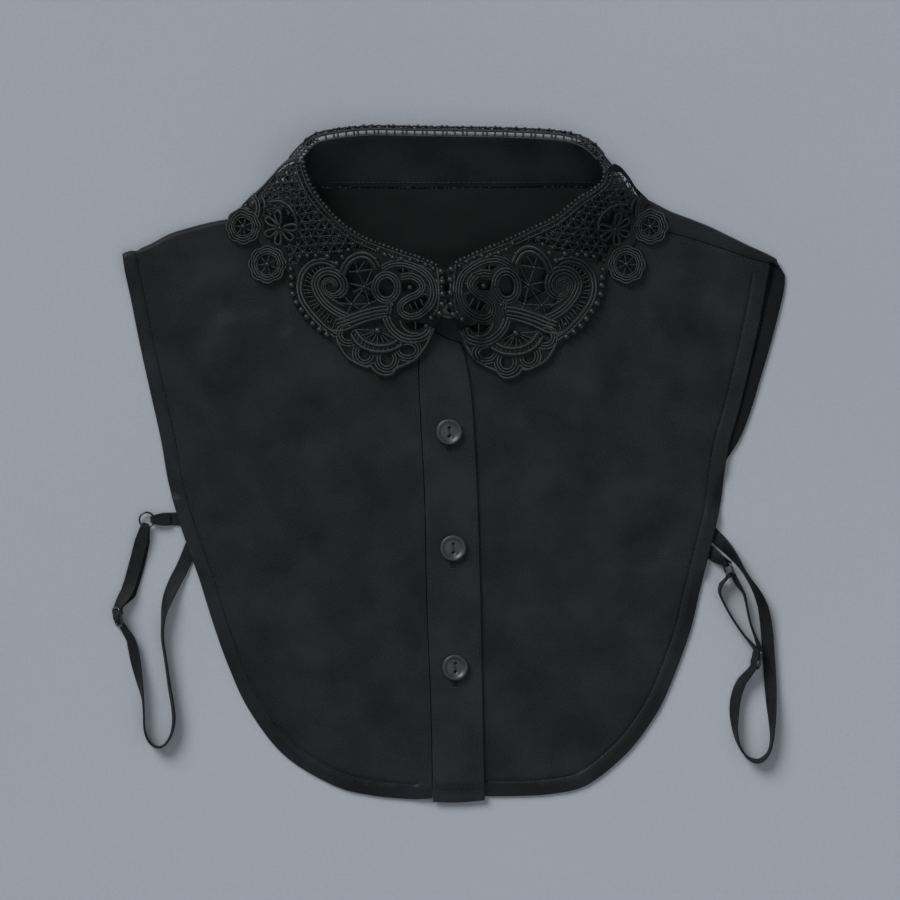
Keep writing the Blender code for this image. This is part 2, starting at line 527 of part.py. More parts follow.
def triangulate(loops, lines, grid):
    """Triangles between closed loops, the first the outline and the rest holes, with lines and points in it."""
    points, edges = [], []
    for loop in loops:
        base = len(points)
        points += [tuple(p) for p in loop]
        edges += [(base + i, base + (i + 1) % len(loop)) for i in range(len(loop))]
    for line in lines:
        base = len(points)
        points += [tuple(p) for p in line]
        edges += [(base + i, base + i + 1) for i in range(len(line) - 1)]
    points += [tuple(p) for p in grid]
    flat, _, faces, *_ = delaunay_2d_cdt(points, edges, [], 0, 1e-6)
    flat = np.array([tuple(p) for p in flat])
    faces = np.array(faces)
    middle = flat[faces].mean(axis=1)
    keep = inside(middle, loops[0])
    for hole in loops[1:]:
        keep &= ~inside(middle, hole)
    faces = faces[keep]
    a, b, c = flat[faces[:, 0]], flat[faces[:, 1]], flat[faces[:, 2]]
    turn = (b[:, 0] - a[:, 0]) * (c[:, 1] - a[:, 1]) - (b[:, 1] - a[:, 1]) * (c[:, 0] - a[:, 0])
    faces[turn < 0] = faces[turn < 0][:, ::-1]
    used, index = np.unique(faces, return_inverse=True)
    return flat[used], index.reshape(faces.shape)


def grid_points(loops, lines, spacing):
    """Evenly staggered points inside the loops, clear of them and of the lines."""
    low, high = loops[0].min(axis=0), loops[0].max(axis=0)
    rows = np.arange(low[1] + spacing / 2, high[1], spacing * 0.87)
    grid = np.array([
        (x + (i % 2) * spacing / 2, y) for i, y in enumerate(rows) for x in np.arange(low[0], high[0], spacing)
    ]).reshape(-1, 2)
    keep = inside(grid, loops[0])
    for loop in loops:
        keep &= nearest(grid, loop, closed=True)[0] > spacing * 0.45
    for hole in loops[1:]:
        keep &= ~inside(grid, hole)
    for line in lines:
        keep &= nearest(grid, np.asarray(line))[0] > spacing * 0.4
    return grid[keep]


def clear_runs(line, loops, margin):
    """The stretches of a line that keep clear of the loops."""
    middle = (line[:-1] + line[1:]) / 2
    fine = np.insert(middle, np.arange(len(line) - 1), line[:-1], axis=0)
    fine = np.vstack([fine, line[-1:]])
    free = np.ones(len(fine), bool)
    for loop in loops:
        free &= nearest(fine, loop, closed=True)[0] > margin
    free &= inside(fine, loops[0])
    for hole in loops[1:]:
        free &= ~inside(fine, hole)
    runs, run = [], []
    for i, point in enumerate(line):
        linked = i and free[2 * i - 1]
        if run and not (free[2 * i] and linked):
            runs.append(run)
            run = []
        if free[2 * i]:
            run.append(point)
    runs.append(run)
    return [np.array(r) for r in runs if len(r) > 1]


def border(faces):
    """Edges that only one triangle has, in its own direction."""
    edges = np.concatenate([faces[:, [0, 1]], faces[:, [1, 2]], faces[:, [2, 0]]])
    key = {tuple(e) for e in edges}
    return [e for e in key if (e[1], e[0]) not in key]


def finish(name, points, faces, look, parent, origin=(0, 0, 0), turn=(0, 0, 0)):
    """An object from points in millimetres, set at its origin."""
    points, faces = np.asarray(points, float), np.asarray(faces, int)
    a, b, c = (points[faces[:, k]] for k in range(3))
    if (a * np.cross(b, c)).sum() < 0:
        faces = faces[:, ::-1]
    mesh = bpy.data.meshes.new(name)
    mesh.from_pydata((points * MM).tolist(), [], faces.tolist())
    mesh.materials.append(look)
    mesh.update()
    piece = bpy.data.objects.new(name, mesh)
    piece.location = [v * MM for v in origin]
    piece.rotation_euler = [math.radians(v) for v in turn]
    piece.parent = parent
    bpy.context.scene.collection.objects.link(piece)
    mesh.shade_smooth()
    mesh.set_sharp_from_angle(angle=math.radians(40))


def wall(name, loops, lines, spacing, place, look, parent, relief=(), **at):
    """A closed wall: place(points, side) gives its lower side for 0 and its upper side for 1.

    lines are on both sides and relief on the upper side alone."""
    grid = grid_points(loops, (*lines, *relief), spacing)
    top, top_faces = triangulate(loops, (*lines, *relief), grid)
    bottom, bottom_faces = triangulate(loops, lines, grid)
    key = {tuple(np.round(p, 5)): len(top) + i for i, p in enumerate(bottom)}
    below = [key.get(tuple(np.round(p, 5))) for p in top]
    faces = [tuple(f) for f in top_faces] + [tuple(f[::-1] + len(top)) for f in bottom_faces]
    for i, j in border(top_faces):
        faces += [(j, i, below[i]), (j, below[i], below[j])]
    points = np.vstack([place(top, 1), place(bottom, 0)])
    finish(name, points, faces, look, parent, **at)


def strip(rows):
    """Faces of a closed bar whose sections, all with the same number of corners, follow each other."""
    count, corners = rows.shape[:2]
    faces = []
    for i in range(count - 1):
        for j in range(corners):
            a, b = i * corners + j, i * corners + (j + 1) % corners
            faces += [(a, b, b + corners), (a, b + corners, a + corners)]
    for j in range(1, corners - 1):
        last = (count - 1) * corners
        faces += [(0, j + 1, j), (last, last + j, last + j + 1)]
    return faces


def panel_place(height, fold=None, lift=None):
    def place(points, side):
        middle, normal = (points, None) if fold is None else fold.bend(points)
        bottom = height(middle[:, :2])
        if lift is not None:
            bottom = bottom + lift(middle[:, :2])
        if fold is None:
            return np.column_stack([points, bottom + side * CLOTH])
        middle[:, 2] += bottom + CLOTH / 2
        return middle + normal * (side - 0.5) * CLOTH

    return place


def material(name, colour, roughness, metallic=0.0):
    look = bpy.data.materials.new(name)
    look.use_nodes = True
    shader = look.node_tree.nodes["Principled BSDF"]
    shader.inputs["Base Color"].default_value = (*colour, 1)
    shader.inputs["Roughness"].default_value = roughness
    shader.inputs["Metallic"].default_value = metallic
    look.diffuse_color = (*colour, 1)
    return look


def inset_ring(outline, runs, depth):
    """Lines a little inside the hem runs, so that the rim's slope has points of its own."""
    rings = []
    for run in runs:
        ring = run[1:-1] - normals(run)[1:-1] * depth
        rings.append(ring[nearest(ring, outline, closed=True)[0] > depth * 0.8])
    return rings


def fold_lines(outline):
    lines = []
    for x0, y0, x1, y1, half, _ in FOLDS:
        line = spline(((x0, y0), (x1, y1)), 12.0)
        lines += clear_runs(line, [outline], 9.0)
    return lines


def make_panels(cloth, parent):
    outline = back_edge
    roll_lines = []
    for step in (-0.4, 0.5, 1.0):
        line = fold_right.line[1:-1] + fold_right.out[1:-1] * (ROLL * step if step > 0 else step)
        roll_lines += clear_runs(line[::2], [outline], 1.2)
    for y in (RAISED_FROM, RAISED_TO):
        roll_lines += clear_runs(spline(((-155.0, y), (0.0, y), (158.0, y)), 14.0), [outline], 2.0)
    wall("back_panel", [outline], roll_lines, 17.0, panel_place(back_underside, fold_right), cloth, parent)

    outline = front_left_outline()
    roll_lines = []
    for step in (-0.4, 0.5, 1.0):
        line = fold_left.line[1:-1] + fold_left.out[1:-1] * (ROLL * step if step > 0 else step)
        roll_lines += clear_runs(line[::2], [outline], 1.2)
    lines = roll_lines + inset_ring(outline, [hem_left[::-1]], 6.5) + fold_lines(outline)
    wall("front_left", [outline], lines, 15.0, panel_place(front_underside, fold_left, seam_lift), cloth, parent)

    outline = front_right_outline()
    lines = inset_ring(outline, [hem_right], 6.5) + fold_lines(outline)
    wall("front_right", [outline], lines, 15.0, panel_place(front_underside), cloth, parent)


def make_placket(cloth, parent):
    top = neck_run(0, 3)[::-1]
    top = top[(top[:, 0] > -17.0) & (top[:, 0] < 4.6)]
    bottom = spline([(-10.2, -168.4), (3.0, -168.6), (15.7, -167.5)], 8.0)
    outline = joined(placket_seam[:1], top, placket_edge, bottom[::-1], placket_seam[::-1][:-1])
    lines = [np.array([(-9.0, y), (14.5, y)]) for y in PLACKET_HEM]

    def place(points, side):
        rim = 0.3 * soft((-140 - points[:, 1]) / 12)
        return np.column_stack([points, front_underside(points) + CLOTH + SEAM + rim + side * PLACKET_WALL])

    wall("placket", [outline], lines, 11.0, place, cloth, parent)


def make_band(cloth, parent):
    sections = []
    for row, outer in zip(band_rows, band_outer):
        bottom, top = row[:3], row[3:]
        middle = [bottom + (top - bottom) * w + outer * BAND_BULGE * math.sin(math.pi * w)
                  for w in np.linspace(0, 1, 4)]
        near = [p + outer * BAND_WALL / 2 for p in middle]
        far = [p - outer * BAND_WALL / 2 for p in middle[::-1]]
        sections.append(near + far)
    sections = np.array(sections)
    finish("neck_band", sections.reshape(-1, 3), strip(sections), cloth, parent)


def arc(centre, radius, start, end, step, lobes=0, lobe_rise=0.0):
    count = max(3, round(abs(math.radians(end - start)) * radius / step))
    turns = np.radians(np.linspace(start, end, count + 1))
    reach = radius + lobe_rise * np.cos(lobes * turns)
    return np.column_stack([centre[0] + reach * np.cos(turns), centre[1] + reach * np.sin(turns)])


def bead_edge(beads, side):
    """The outline round a row of beads, seen from one side of the row."""
    points = []
    rows = np.array(beads)
    for centre, out in zip(rows, normals(rows) * side):
        lean = math.degrees(math.atan2(out[1], out[0]))
        points += [tuple(p) for p in arc(centre, BEAD_RADIUS, lean + side * 50, lean - side * 50, 2.0)[[0, 1, -1]]]
    return np.array(points)


def lace_outline():
    first, second = (np.array(r[:2]) for r in ROUNDELS)
    inner = top_left[::2] - normals(top_left)[::2] * 0.7
    return joined(
        inner,
        np.array(LACE_SIDE_EDGE),
        spline(LACE_FOLD_EDGE, 5.5),
        arc(first, ROUNDELS[0][2], 120, 290, 3.6, 7, 0.4),
        arc(second, ROUNDELS[1][2], 150, 345, 3.6, 7, 0.4),
        bead_edge(EDGE_BEADS, -1),
        np.array(SCALLOPED_EDGE),
        bead_edge(FRONT_BEADS, -1),
    )


def petal(direction):
    """One loop of the flower, out and back."""
    turn = math.radians(direction)
    ahead = np.array([math.cos(turn), math.sin(turn)])
    beside = np.array([-ahead[1], ahead[0]])
    shape = ((1.6, 0.0), (5.2, 1.5), (PETAL_REACH, 0.9), (PETAL_REACH, -0.9), (5.2, -1.5), (1.6, 0.0))
    return [np.array(FLOWER) + ahead * a + beside * b for a, b in shape]


def lace_cords():
    """Every raised line of the left front's lace, as half width, rise and points."""
    cords = [(half, rise, spline(points, 3.2)) for half, rise, points in CORDS]
    for x, y, radius in ROUNDELS:
        cords.append((1.1, CORD_RISE, arc((x, y), radius - 2.6, 0, 345, 3.4)))
    for direction in PETALS:
        cords.append((0.9, CORD_RISE, np.array(petal(direction))))
    return cords


def lace_relief(points, cords):
    rise = np.zeros(len(points))
    for half, height, line in cords:
        away = nearest(points, line)[0]
        rise = np.maximum(rise, height * np.clip(1 - away / half, 0, 1))
    for centre in EDGE_BEADS + FRONT_BEADS:
        away = np.hypot(points[:, 0] - centre[0], points[:, 1] - centre[1])
        rise = np.maximum(rise, BEAD_RISE * np.sqrt(np.clip(1 - (away / BEAD_RADIUS) ** 2, 0, 1)))
    for x, y, _ in ROUNDELS:
        away = np.hypot(points[:, 0] - x, points[:, 1] - y)
        rise = np.maximum(rise, KNOT_RISE * np.clip(1 - away / KNOT_RADIUS, 0, 1))
    return rise


MIRROR = -6.5  # the two halves face each other across x = MIRROR / 2


def to_right(points):
    """The right half: the left one turned over, its top drawn to the band's right side, its lower part longer."""
    x, y = points.T
    away, _, row = nearest(points, top_left)
    share = row / (len(top_left) - 1) * (len(top_right) - 1)
    near = np.stack([np.interp(row, np.arange(len(top_left)), column) for column in top_left.T], axis=1)
    near[:, 0] = MIRROR - near[:, 0]
    wanted = np.stack([np.interp(share, np.arange(len(top_right)), column) for column in top_right.T], axis=1)
    drawn = (wanted - near) * soft(1 - away / 34)[:, None]
    return np.column_stack([MIRROR - x, y - 1.4 * soft((95 - y) / 35)]) + drawn


def ellipse(x, y, half_x, half_y):
    turns = np.linspace(0, 2 * math.pi, 7, endpoint=False)
    return np.column_stack([x + half_x * np.cos(turns), y + half_y * np.sin(turns)])


def make_lace(name, look, parent, right):
    outline = lace_outline()
    holes = [ellipse(*gap) for gap in GAPS]
    loops = [outline, *holes]
    cords = lace_cords()
    lines = []
    for half, _, line in cords:
        for offset in (-half, 0.0, half):
            lines += clear_runs(line + normals(line) * offset, loops, 0.5)
    for bead in EDGE_BEADS + FRONT_BEADS:
        lines.append(np.array([bead, np.array(bead) + 0.05]))

    def place(points, side):
        plan = to_right(points) if right else points
        height = lace_underside(plan)
        low = np.column_stack([plan, height])
        if not side:
            return low
        slope = [(lace_underside(plan + step) - height) / 0.2 for step in ((0.2, 0), (0, 0.2))]
        outward = np.column_stack([-np.array(slope).T, np.ones(len(plan))])
        outward /= np.linalg.norm(outward, axis=1)[:, None]
        return low + outward * (LACE_WALL + lace_relief(points, cords))[:, None]

    wall(name, loops, (), 7.0, place, look, parent, relief=lines)


def make_lace_back(look, parent):
    edge = top_line[(top_line[:, 1] > 140) & (np.abs(top_line[:, 0]) < 80)]
    left, right = LACE_BACK_ENDS
    edge = edge[(edge[:, 1] > left) | (edge[:, 0] > 0)]
    edge = edge[(edge[:, 1] > right) | (edge[:, 0] < 0)][::2]
    out = normals(edge[:, :2])
    turn = np.array(LACE_TURN)
    start = edge[:, :2] + out * turn[0, 1]
    flat = spline(LACE_BACK_EDGE, 5.5)[::-1]
    left_end, right_end = (start[k] + np.outer(turn[1:-1, 0], out[k]) for k in (1, -2))
    outline = joined(start[:1], left_end, (start + out * turn[-1, 0])[1:-1], right_end[::-1], start[-1:], flat)
    holes = [ellipse(*gap) for gap in BACK_GAPS]
    section_run = np.gradient(turn[:, 1:], axis=0)
    section_run /= np.linalg.norm(section_run, axis=1)[:, None]
    lines = []
    for length in turn[:-1, 0]:
        lines += clear_runs(start + out * length, [outline, *holes], 1.0)

    def place(points, side):
        _, near, row = nearest(points, start)
        low = np.clip(row.astype(int), 0, len(out) - 2)
        part = (row - low)[:, None]
        lean = out[low] * (1 - part) + out[low + 1] * part
        past = ((points - near) * lean).sum(axis=1)
        rise = (np.interp(row, np.arange(len(edge)), edge[:, 2]) + 1.7) / (turn[-1, 2] - turn[0, 2])
        reach, height, run_out, run_up = (
            np.interp(past, turn[:, 0], column) for column in (*turn[:, 1:].T, *section_run.T)
        )
        height = turn[0, 2] + (height - turn[0, 2]) * rise
        offset = (side - 0.5) * LACE_WALL
        stands = (past > 0) & (row > 0.01) & (row < len(out) - 1.01)
        plan = near + lean * (reach - turn[0, 1] - offset * run_up)[:, None]
        plan = np.where(stands[:, None], plan, points)
        return np.column_stack([plan, np.where(stands, height + offset * run_out, LACE_WALL / 2 + offset)])

    wall("lace_back", [outline, *holes], lines, 9.0, place, look, parent)


def make_button(name, place_at, turn, look, parent):
    """A flat round button with a raised rim and two holes."""
    outline = arc((0, 0), BUTTON_ACROSS / 2, 0, 360, 1.7)[:-1]
    holes = [arc((0, side * BUTTON_HOLES_APART / 2), BUTTON_HOLE, 0, 360, 0.7)[:-1] for side in (-1, 1)]
    rings = [arc((0, 0), BUTTON_ACROSS / 2 - inset, 0, 360, 1.9) for inset in (0.9, 2.1)]
    reach = (0.0, BUTTON_ACROSS / 2 - 2.1, BUTTON_ACROSS / 2 - 0.9, BUTTON_ACROSS / 2)

    def place(points, side):
        away = np.hypot(*points.T)
        top = np.interp(away, reach, (BUTTON_THICK - 0.9, BUTTON_THICK - 0.9, BUTTON_THICK, BUTTON_THICK - 0.7))
        low = np.interp(away, reach, (0.0, 0.0, 0.2, 0.8))
        return np.column_stack([points, top if side else low])

    wall(name, [outline, *holes], rings, EDGES_ONLY, place, look, parent, origin=place_at, turn=turn)


def make_buttons(look, parent):
    ring = arc((0, 0), BUTTON_ACROSS / 2, 0, 360, 3.0)
    for i, centre in enumerate(BUTTONS):
        below = front_underside(ring + centre).max() + CLOTH + SEAM + PLACKET_WALL
        make_button(f"button_{i + 1}", (*centre, below + SEAM), (0, 0, 0), look, parent)
    _, y0, z0, _, y1, z1 = BAND[0]
    tilt = math.degrees(math.atan2(z1 - z0, y1 - y0))
    over = band_end_top(np.array([COLLAR_BUTTON]))[0] + SEAM
    make_button("collar_button", (*COLLAR_BUTTON, over), (tilt, 0, 0), look, parent)


def axes(heading, lean):
    """Unit vectors ahead, across and out of a plane that leans over to the left of its heading."""
    turn, lean = math.radians(heading), math.radians(lean)
    ahead = np.array([math.cos(turn), math.sin(turn), 0])
    across = np.array([-math.sin(turn) * math.cos(lean), math.cos(turn) * math.cos(lean), math.sin(lean)])
    return ahead, across, np.cross(ahead, across)


def strand(rows):
    """Middle of each station of a strap, and the direction across it."""
    rows = np.array(rows, float)
    beside = normals(rows[:, :2])
    roll = np.radians(rows[:, 2])
    across = np.column_stack([beside * np.cos(roll)[:, None], np.sin(roll)])
    z = REST + (STRAP_WIDE * np.abs(np.sin(roll)) + STRAP_THICK * np.abs(np.cos(roll))) / 2 + rows[:, 3]
    return np.column_stack([rows[:, :2], z]), across


def bar(middle, across, shares):
    """Sections of a strap round its middle line."""
    run = np.gradient(middle, axis=0)
    out = np.cross(across, run)
    out *= STRAP_THICK / 2 / np.linalg.norm(out, axis=1)[:, None]
    across = across * STRAP_WIDE / 2
    near = [middle + across * s + out for s in shares]
    far = [middle + across * s - out for s in shares[::-1]]
    return np.stack(near + far, axis=1)


def make_loop(name, rows, look, parent):
    sections = bar(*strand(spline(rows, 5.0)), (-1, 1))
    finish(name, sections.reshape(-1, 3), strip(sections), look, parent)


def make_sling(name, ring, turned, strands, look, parent):
    """A strap that goes round the ring's wire and back."""
    *centre, heading, lean = ring
    ahead, across, up = axes(heading + turned, -lean if turned == TAB_TURN_RIGHT else lean)
    shares = np.linspace(-1, 1, 5)
    angle = BEND_HALF / RING_REACH * shares
    round_wire = []
    for turn in np.radians(np.linspace(90, 270, 7)):
        section = []
        for reach, spread in ((BEND + STRAP_THICK / 2, angle), (BEND - STRAP_THICK / 2, angle[::-1])):
            out = RING_REACH + reach * math.cos(turn)
            section += [
                centre + ahead * out * math.cos(a) + across * out * math.sin(a) + up * reach * math.sin(turn)
                for a in spread
            ]
        round_wire.append(section)
    upper, lower = (strand(rows) for rows in strands)
    top = bar(upper[0][::-1], upper[1][::-1], shares)
    bottom = bar(*lower, shares)
    sections = np.concatenate([top, np.array(round_wire), bottom])
    finish(name, sections.reshape(-1, 3), strip(sections), look, parent)


def make_ring(name, ring, look, parent):
    *centre, heading, lean = ring
    around, sides = 24, 8
    points = [
        ((RING_REACH + WIRE / 2 * math.cos(b)) * math.cos(a), (RING_REACH + WIRE / 2 * math.cos(b)) * math.sin(a),
         WIRE / 2 * math.sin(b))
        for a in np.linspace(0, 2 * math.pi, around, endpoint=False)
        for b in np.linspace(0, 2 * math.pi, sides, endpoint=False)
    ]
    faces = []
    for i in range(around):
        for j in range(sides):
            a, b = i * sides + j, i * sides + (j + 1) % sides
            c, d = (i + 1) % around * sides + j, (i + 1) % around * sides + (j + 1) % sides
            faces += [(a, c, d), (a, d, b)]
    finish(name, points, faces, look, parent, origin=centre, turn=(lean, 0, heading))


def rounded(centre, half_x, half_y, corner):
    """A rectangle with rounded corners."""
    points = []
    for k in range(4):
        middle = [centre + (half_x - corner) * (1, -1, -1, 1)[k], (half_y - corner) * (1, 1, -1, -1)[k]]
        points.append(arc(middle, corner, 90 * k, 90 * k + 90, 0.8))
    return joined(*points)


def make_slider(name, slider, look, parent):
    *centre, heading, lean = slider
    length, width, frame, thick = SLIDER
    window = (length - 3 * frame) / 4
    corner, window_corner = SLIDER_CORNERS
    loops = [rounded(0, length / 2, width / 2, corner)]
    loops += [rounded(side * (window + frame / 2), window, width / 2 - frame, window_corner) for side in (-1, 1)]

    def place(points, side):
        return np.column_stack([points, np.full(len(points), (side - 0.5) * thick)])

    wall(name, loops, (), EDGES_ONLY, place, look, parent, origin=centre, turn=(lean, 0, heading))


def make_straps(elastic, metal, parent):
    sides = {
        "left": (RING_LEFT, SLIDER_LEFT, LOOP_LEFT, DOUBLE_LEFT, TAB_LEFT, TAB_TURN_LEFT),
        "right": (RING_RIGHT, SLIDER_RIGHT, LOOP_RIGHT, DOUBLE_RIGHT, TAB_RIGHT, TAB_TURN_RIGHT),
    }
    for side, (ring, slider, loop, double, tab, tab_turn) in sides.items():
        make_ring(f"strap_ring_{side}", ring, metal, parent)
        make_slider(f"strap_slider_{side}", slider, metal, parent)
        make_loop(f"strap_loop_{side}", loop, elastic, parent)
        make_sling(f"strap_double_{side}", ring, 0, double, elastic, parent)
        make_sling(f"strap_tab_{side}", ring, tab_turn, tab, elastic, parent)


def main():
    for old in list(bpy.data.objects):
        bpy.data.objects.remove(old)
    garment = bpy.data.objects.new("false_collar", None)
    bpy.context.scene.collection.objects.link(garment)
    cloth = material("black_cloth", (0.016, 0.018, 0.020), 0.75)
    lace = material("black_lace", (0.014, 0.016, 0.017), 0.6)
    button = material("black_button", (0.030, 0.034, 0.038), 0.25)
    elastic = material("black_elastic", (0.022, 0.024, 0.026), 0.7)
    metal = material("black_coated_metal", (0.020, 0.020, 0.022), 0.3, 0.4)
    make_panels(cloth, garment)
    make_placket(cloth, garment)
    make_band(cloth, garment)
    make_lace("lace_left", lace, garment, False)
    make_lace("lace_right", lace, garment, True)
    make_lace_back(lace, garment)
    make_buttons(button, garment)
    make_straps(elastic, metal, garment)


main()
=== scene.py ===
import math

import bpy
import numpy as np
from mathutils.geometry import delaunay_2d_cdt
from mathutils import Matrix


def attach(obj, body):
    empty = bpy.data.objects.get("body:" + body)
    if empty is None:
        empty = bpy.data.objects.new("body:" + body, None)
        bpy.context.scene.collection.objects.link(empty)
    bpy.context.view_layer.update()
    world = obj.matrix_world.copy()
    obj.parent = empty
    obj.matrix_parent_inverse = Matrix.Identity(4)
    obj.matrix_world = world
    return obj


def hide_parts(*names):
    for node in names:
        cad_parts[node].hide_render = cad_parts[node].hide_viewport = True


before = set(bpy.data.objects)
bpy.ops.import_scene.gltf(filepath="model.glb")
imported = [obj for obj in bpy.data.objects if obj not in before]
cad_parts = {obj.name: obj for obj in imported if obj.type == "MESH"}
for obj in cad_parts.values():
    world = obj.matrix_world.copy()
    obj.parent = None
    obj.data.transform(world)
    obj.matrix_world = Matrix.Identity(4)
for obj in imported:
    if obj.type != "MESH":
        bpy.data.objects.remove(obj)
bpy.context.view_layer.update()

# A black false collar laid flat on a pale table and seen from straight above: two sateen fronts over one
# back panel, a button placket, a neck band that stands open behind them, a guipure lace collar and an elastic
# strap at each side. The tables are in millimetres, +X to the right, +Y towards the neck and +Z up from the
# table, and only the straps' routes are in metres.

mm = 0.001

picture = {
    "width": 450.0,
    "centreX": -1.75,
    "centreY": 7.5,
    "distance": 3000.0,
}


def makeCamera():
    data = bpy.data.cameras.new("camera")
    data.sensor_width = 36
    data.lens = data.sensor_width * picture["distance"] / picture["width"]
    data.clip_end = 20
    camera = bpy.data.objects.new("camera", data)
    camera.location = (picture["centreX"] * mm, picture["centreY"] * mm, picture["distance"] * mm)
    bpy.context.scene.collection.objects.link(camera)
    bpy.context.scene.camera = camera


makeCamera()
print("camera made")


# Lines and outlines

def spline(points, step, closed=False):
    # A smooth line through the points, cut into equal steps
    points = np.array(points, float)
    n = len(points)
    fine = []
    for i in range(n if closed else n - 1):
        a, b, c, d = (points[k % n] if closed else points[min(max(k, 0), n - 1)] for k in range(i - 1, i + 3))
        for t in np.linspace(0, 1, 12, endpoint=False):
            fine.append(b + 0.5 * t * (c - a + t * (2 * a - 5 * b + 4 * c - d + t * (3 * b - a - 3 * c + d))))
    fine.append(points[0] if closed else points[-1])
    fine = np.array(fine)
    along = np.r_[0, np.cumsum(np.linalg.norm(np.diff(fine[:, :2], axis=0), axis=1))]
    at = np.linspace(0, along[-1], max(2, round(along[-1] / step)) + 1)
    line = np.stack([np.interp(at, along, column) for column in fine.T], axis=1)
    return line[:-1] if closed else line


def joined(*runs):
    # Runs of points as one closed loop, without the points that two runs share
    loop = [runs[0][0]]
    for point in np.concatenate(runs)[1:]:
        if np.linalg.norm(point - loop[-1]) > 0.4:
            loop.append(point)
    if np.linalg.norm(loop[0] - loop[-1]) < 0.4:
        loop.pop()
    return np.array(loop)


def inside(points, loop):
    x, y = points[:, 0], points[:, 1]
    crossed = np.zeros(len(points), int)
    for a, b in zip(loop, np.roll(loop, -1, axis=0)):
        rise = b[1] - a[1]
        if rise:
            at = a[0] + (y - a[1]) * (b[0] - a[0]) / rise
            crossed += ((a[1] > y) != (b[1] > y)) & (x < at)
    return crossed % 2 == 1


def nearest(points, line, closed=False):
    # Distance to a line, the nearest place on it and where that is, as a row number with its fraction
    best = np.full(len(points), np.inf)
    row = np.zeros(len(points))
    place = np.zeros((len(points), 2))
    ends = np.roll(line, -1, axis=0) if closed else line[1:]
    for k, (a, b) in enumerate(zip(line, ends)):
        run = b - a
        share = np.clip((points - a) @ run / (run @ run), 0, 1)
        at = a + share[:, None] * run
        away = ((points - at) ** 2).sum(axis=1)
        closer = away < best
        best[closer] = away[closer]
        row[closer] = k + share[closer]
        place[closer] = at[closer]
    return np.sqrt(best), place, row


def signedDistance(points, loop):
    away = nearest(points, loop, closed=True)[0]
    return np.where(inside(points, loop), away, -away)


def normals(line, closed=False):
    # Unit vectors to the left of a line's direction
    run = np.roll(line, -1, axis=0) - np.roll(line, 1, axis=0) if closed else np.gradient(line, axis=0)
    run = run[:, :2] / np.linalg.norm(run[:, :2], axis=1)[:, None]
    return np.stack([-run[:, 1], run[:, 0]], axis=1)


def soft(x):
    x = np.clip(x, 0, 1)
    return x * x * (3 - 2 * x)


def arc(centre, radius, start, end, step, lobes=0, lobeRise=0.0):
    count = max(3, round(abs(math.radians(end - start)) * radius / step))
    turns = np.radians(np.linspace(start, end, count + 1))
    reach = radius + lobeRise * (2 * np.abs(np.cos(lobes * turns / 2)) - 1)
    return np.column_stack([centre[0] + reach * np.cos(turns), centre[1] + reach * np.sin(turns)])


def runsOf(line, keep):
    # The stretches of a line whose points are kept
    cuts = np.flatnonzero(np.diff(keep.astype(int))) + 1
    return [run for run, kept in zip(np.split(line, cuts), np.split(keep, cuts)) if kept[0] and len(run) > 2]


def loopArea(loop):
    x, y = loop[:, 0], loop[:, 1]
    return abs((x * np.roll(y, -1) - y * np.roll(x, -1)).sum()) / 2


# Nodes

def added(tree, kind, inputs=None, **settings):
    # A new node, with a value or another node's output for each of its inputs
    node = tree.nodes.new(kind)
    for name, value in settings.items():
        setattr(node, name, value)
    for label, value in (inputs or {}).items():
        if isinstance(value, bpy.types.NodeSocket):
            tree.links.new(value, node.inputs[label])
        else:
            node.inputs[label].default_value = value
    return node


def calculated(tree, operation, *values):
    return added(tree, "ShaderNodeMath", dict(enumerate(values)), operation=operation).outputs[0]


# Materials

tonesAt = (0.41, 0.59)  # where the drift between a material's two tones starts and ends
noiseDetail = 3


def newMaterial(name, colour, inputs):
    look = bpy.data.materials.new(name)
    look.use_nodes = True
    look.diffuse_color = (*colour, 1)
    shader = look.node_tree.nodes["Principled BSDF"]
    shader.inputs["Base Color"].default_value = (*colour, 1)
    for label, value in inputs.items():
        shader.inputs[label].default_value = value
    return look, look.node_tree, shader


def fibre(name, values):
    # A material with the soft shine of cloth or yarn
    return newMaterial(name, values["lighter"], {
        "Roughness": values["roughness"],
        "Specular IOR Level": values["shine"],
        "Sheen Weight": values["sheen"],
        "Sheen Roughness": values["sheenRoughness"],
    })


def flatPlace(tree):
    # Places on the cloth as it was cut
    return added(tree, "ShaderNodeUVMap", uv_map="flat").outputs["UV"]


def objectPlace(tree):
    return added(tree, "ShaderNodeTexCoord").outputs["Object"]


def noise(tree, place, scale):
    inputs = {"Vector": place, "Scale": scale, "Detail": noiseDetail}
    return added(tree, "ShaderNodeTexNoise", inputs).outputs["Fac"]


def mottled(tree, place, scales, darker, lighter):
    # Lets the base colour drift between two tones, in large soft patches and in a fine grain
    both = calculated(tree, "ADD", *[noise(tree, place, scale) for scale in scales])
    ramp = added(tree, "ShaderNodeValToRGB", {"Fac": calculated(tree, "MULTIPLY", both, 0.5)})
    for element, position, tone in zip(ramp.color_ramp.elements, tonesAt, (darker, lighter)):
        element.position = position
        element.color = (*tone, 1)
    tree.links.new(ramp.outputs["Color"], tree.nodes["Principled BSDF"].inputs["Base Color"])


def woven(tree, place, values):
    # Rows of short floats: 0 on the threads and 1 in the gaps between them
    inputs = {
        "Vector": place,
        "Scale": 1,
        "Brick Width": values["floatLong"],
        "Row Height": values["floatWide"],
        "Mortar Size": values["floatGap"],
        "Mortar Smooth": 1,
    }
    return added(tree, "ShaderNodeTexBrick", inputs, offset=values["floatShift"]).outputs["Fac"]


def bumped(tree, height, distance, before=None):
    inputs = {"Strength": 1.0, "Distance": distance * mm, "Height": height}
    if before is not None:
        inputs["Normal"] = before
    return added(tree, "ShaderNodeBump", inputs).outputs["Normal"]


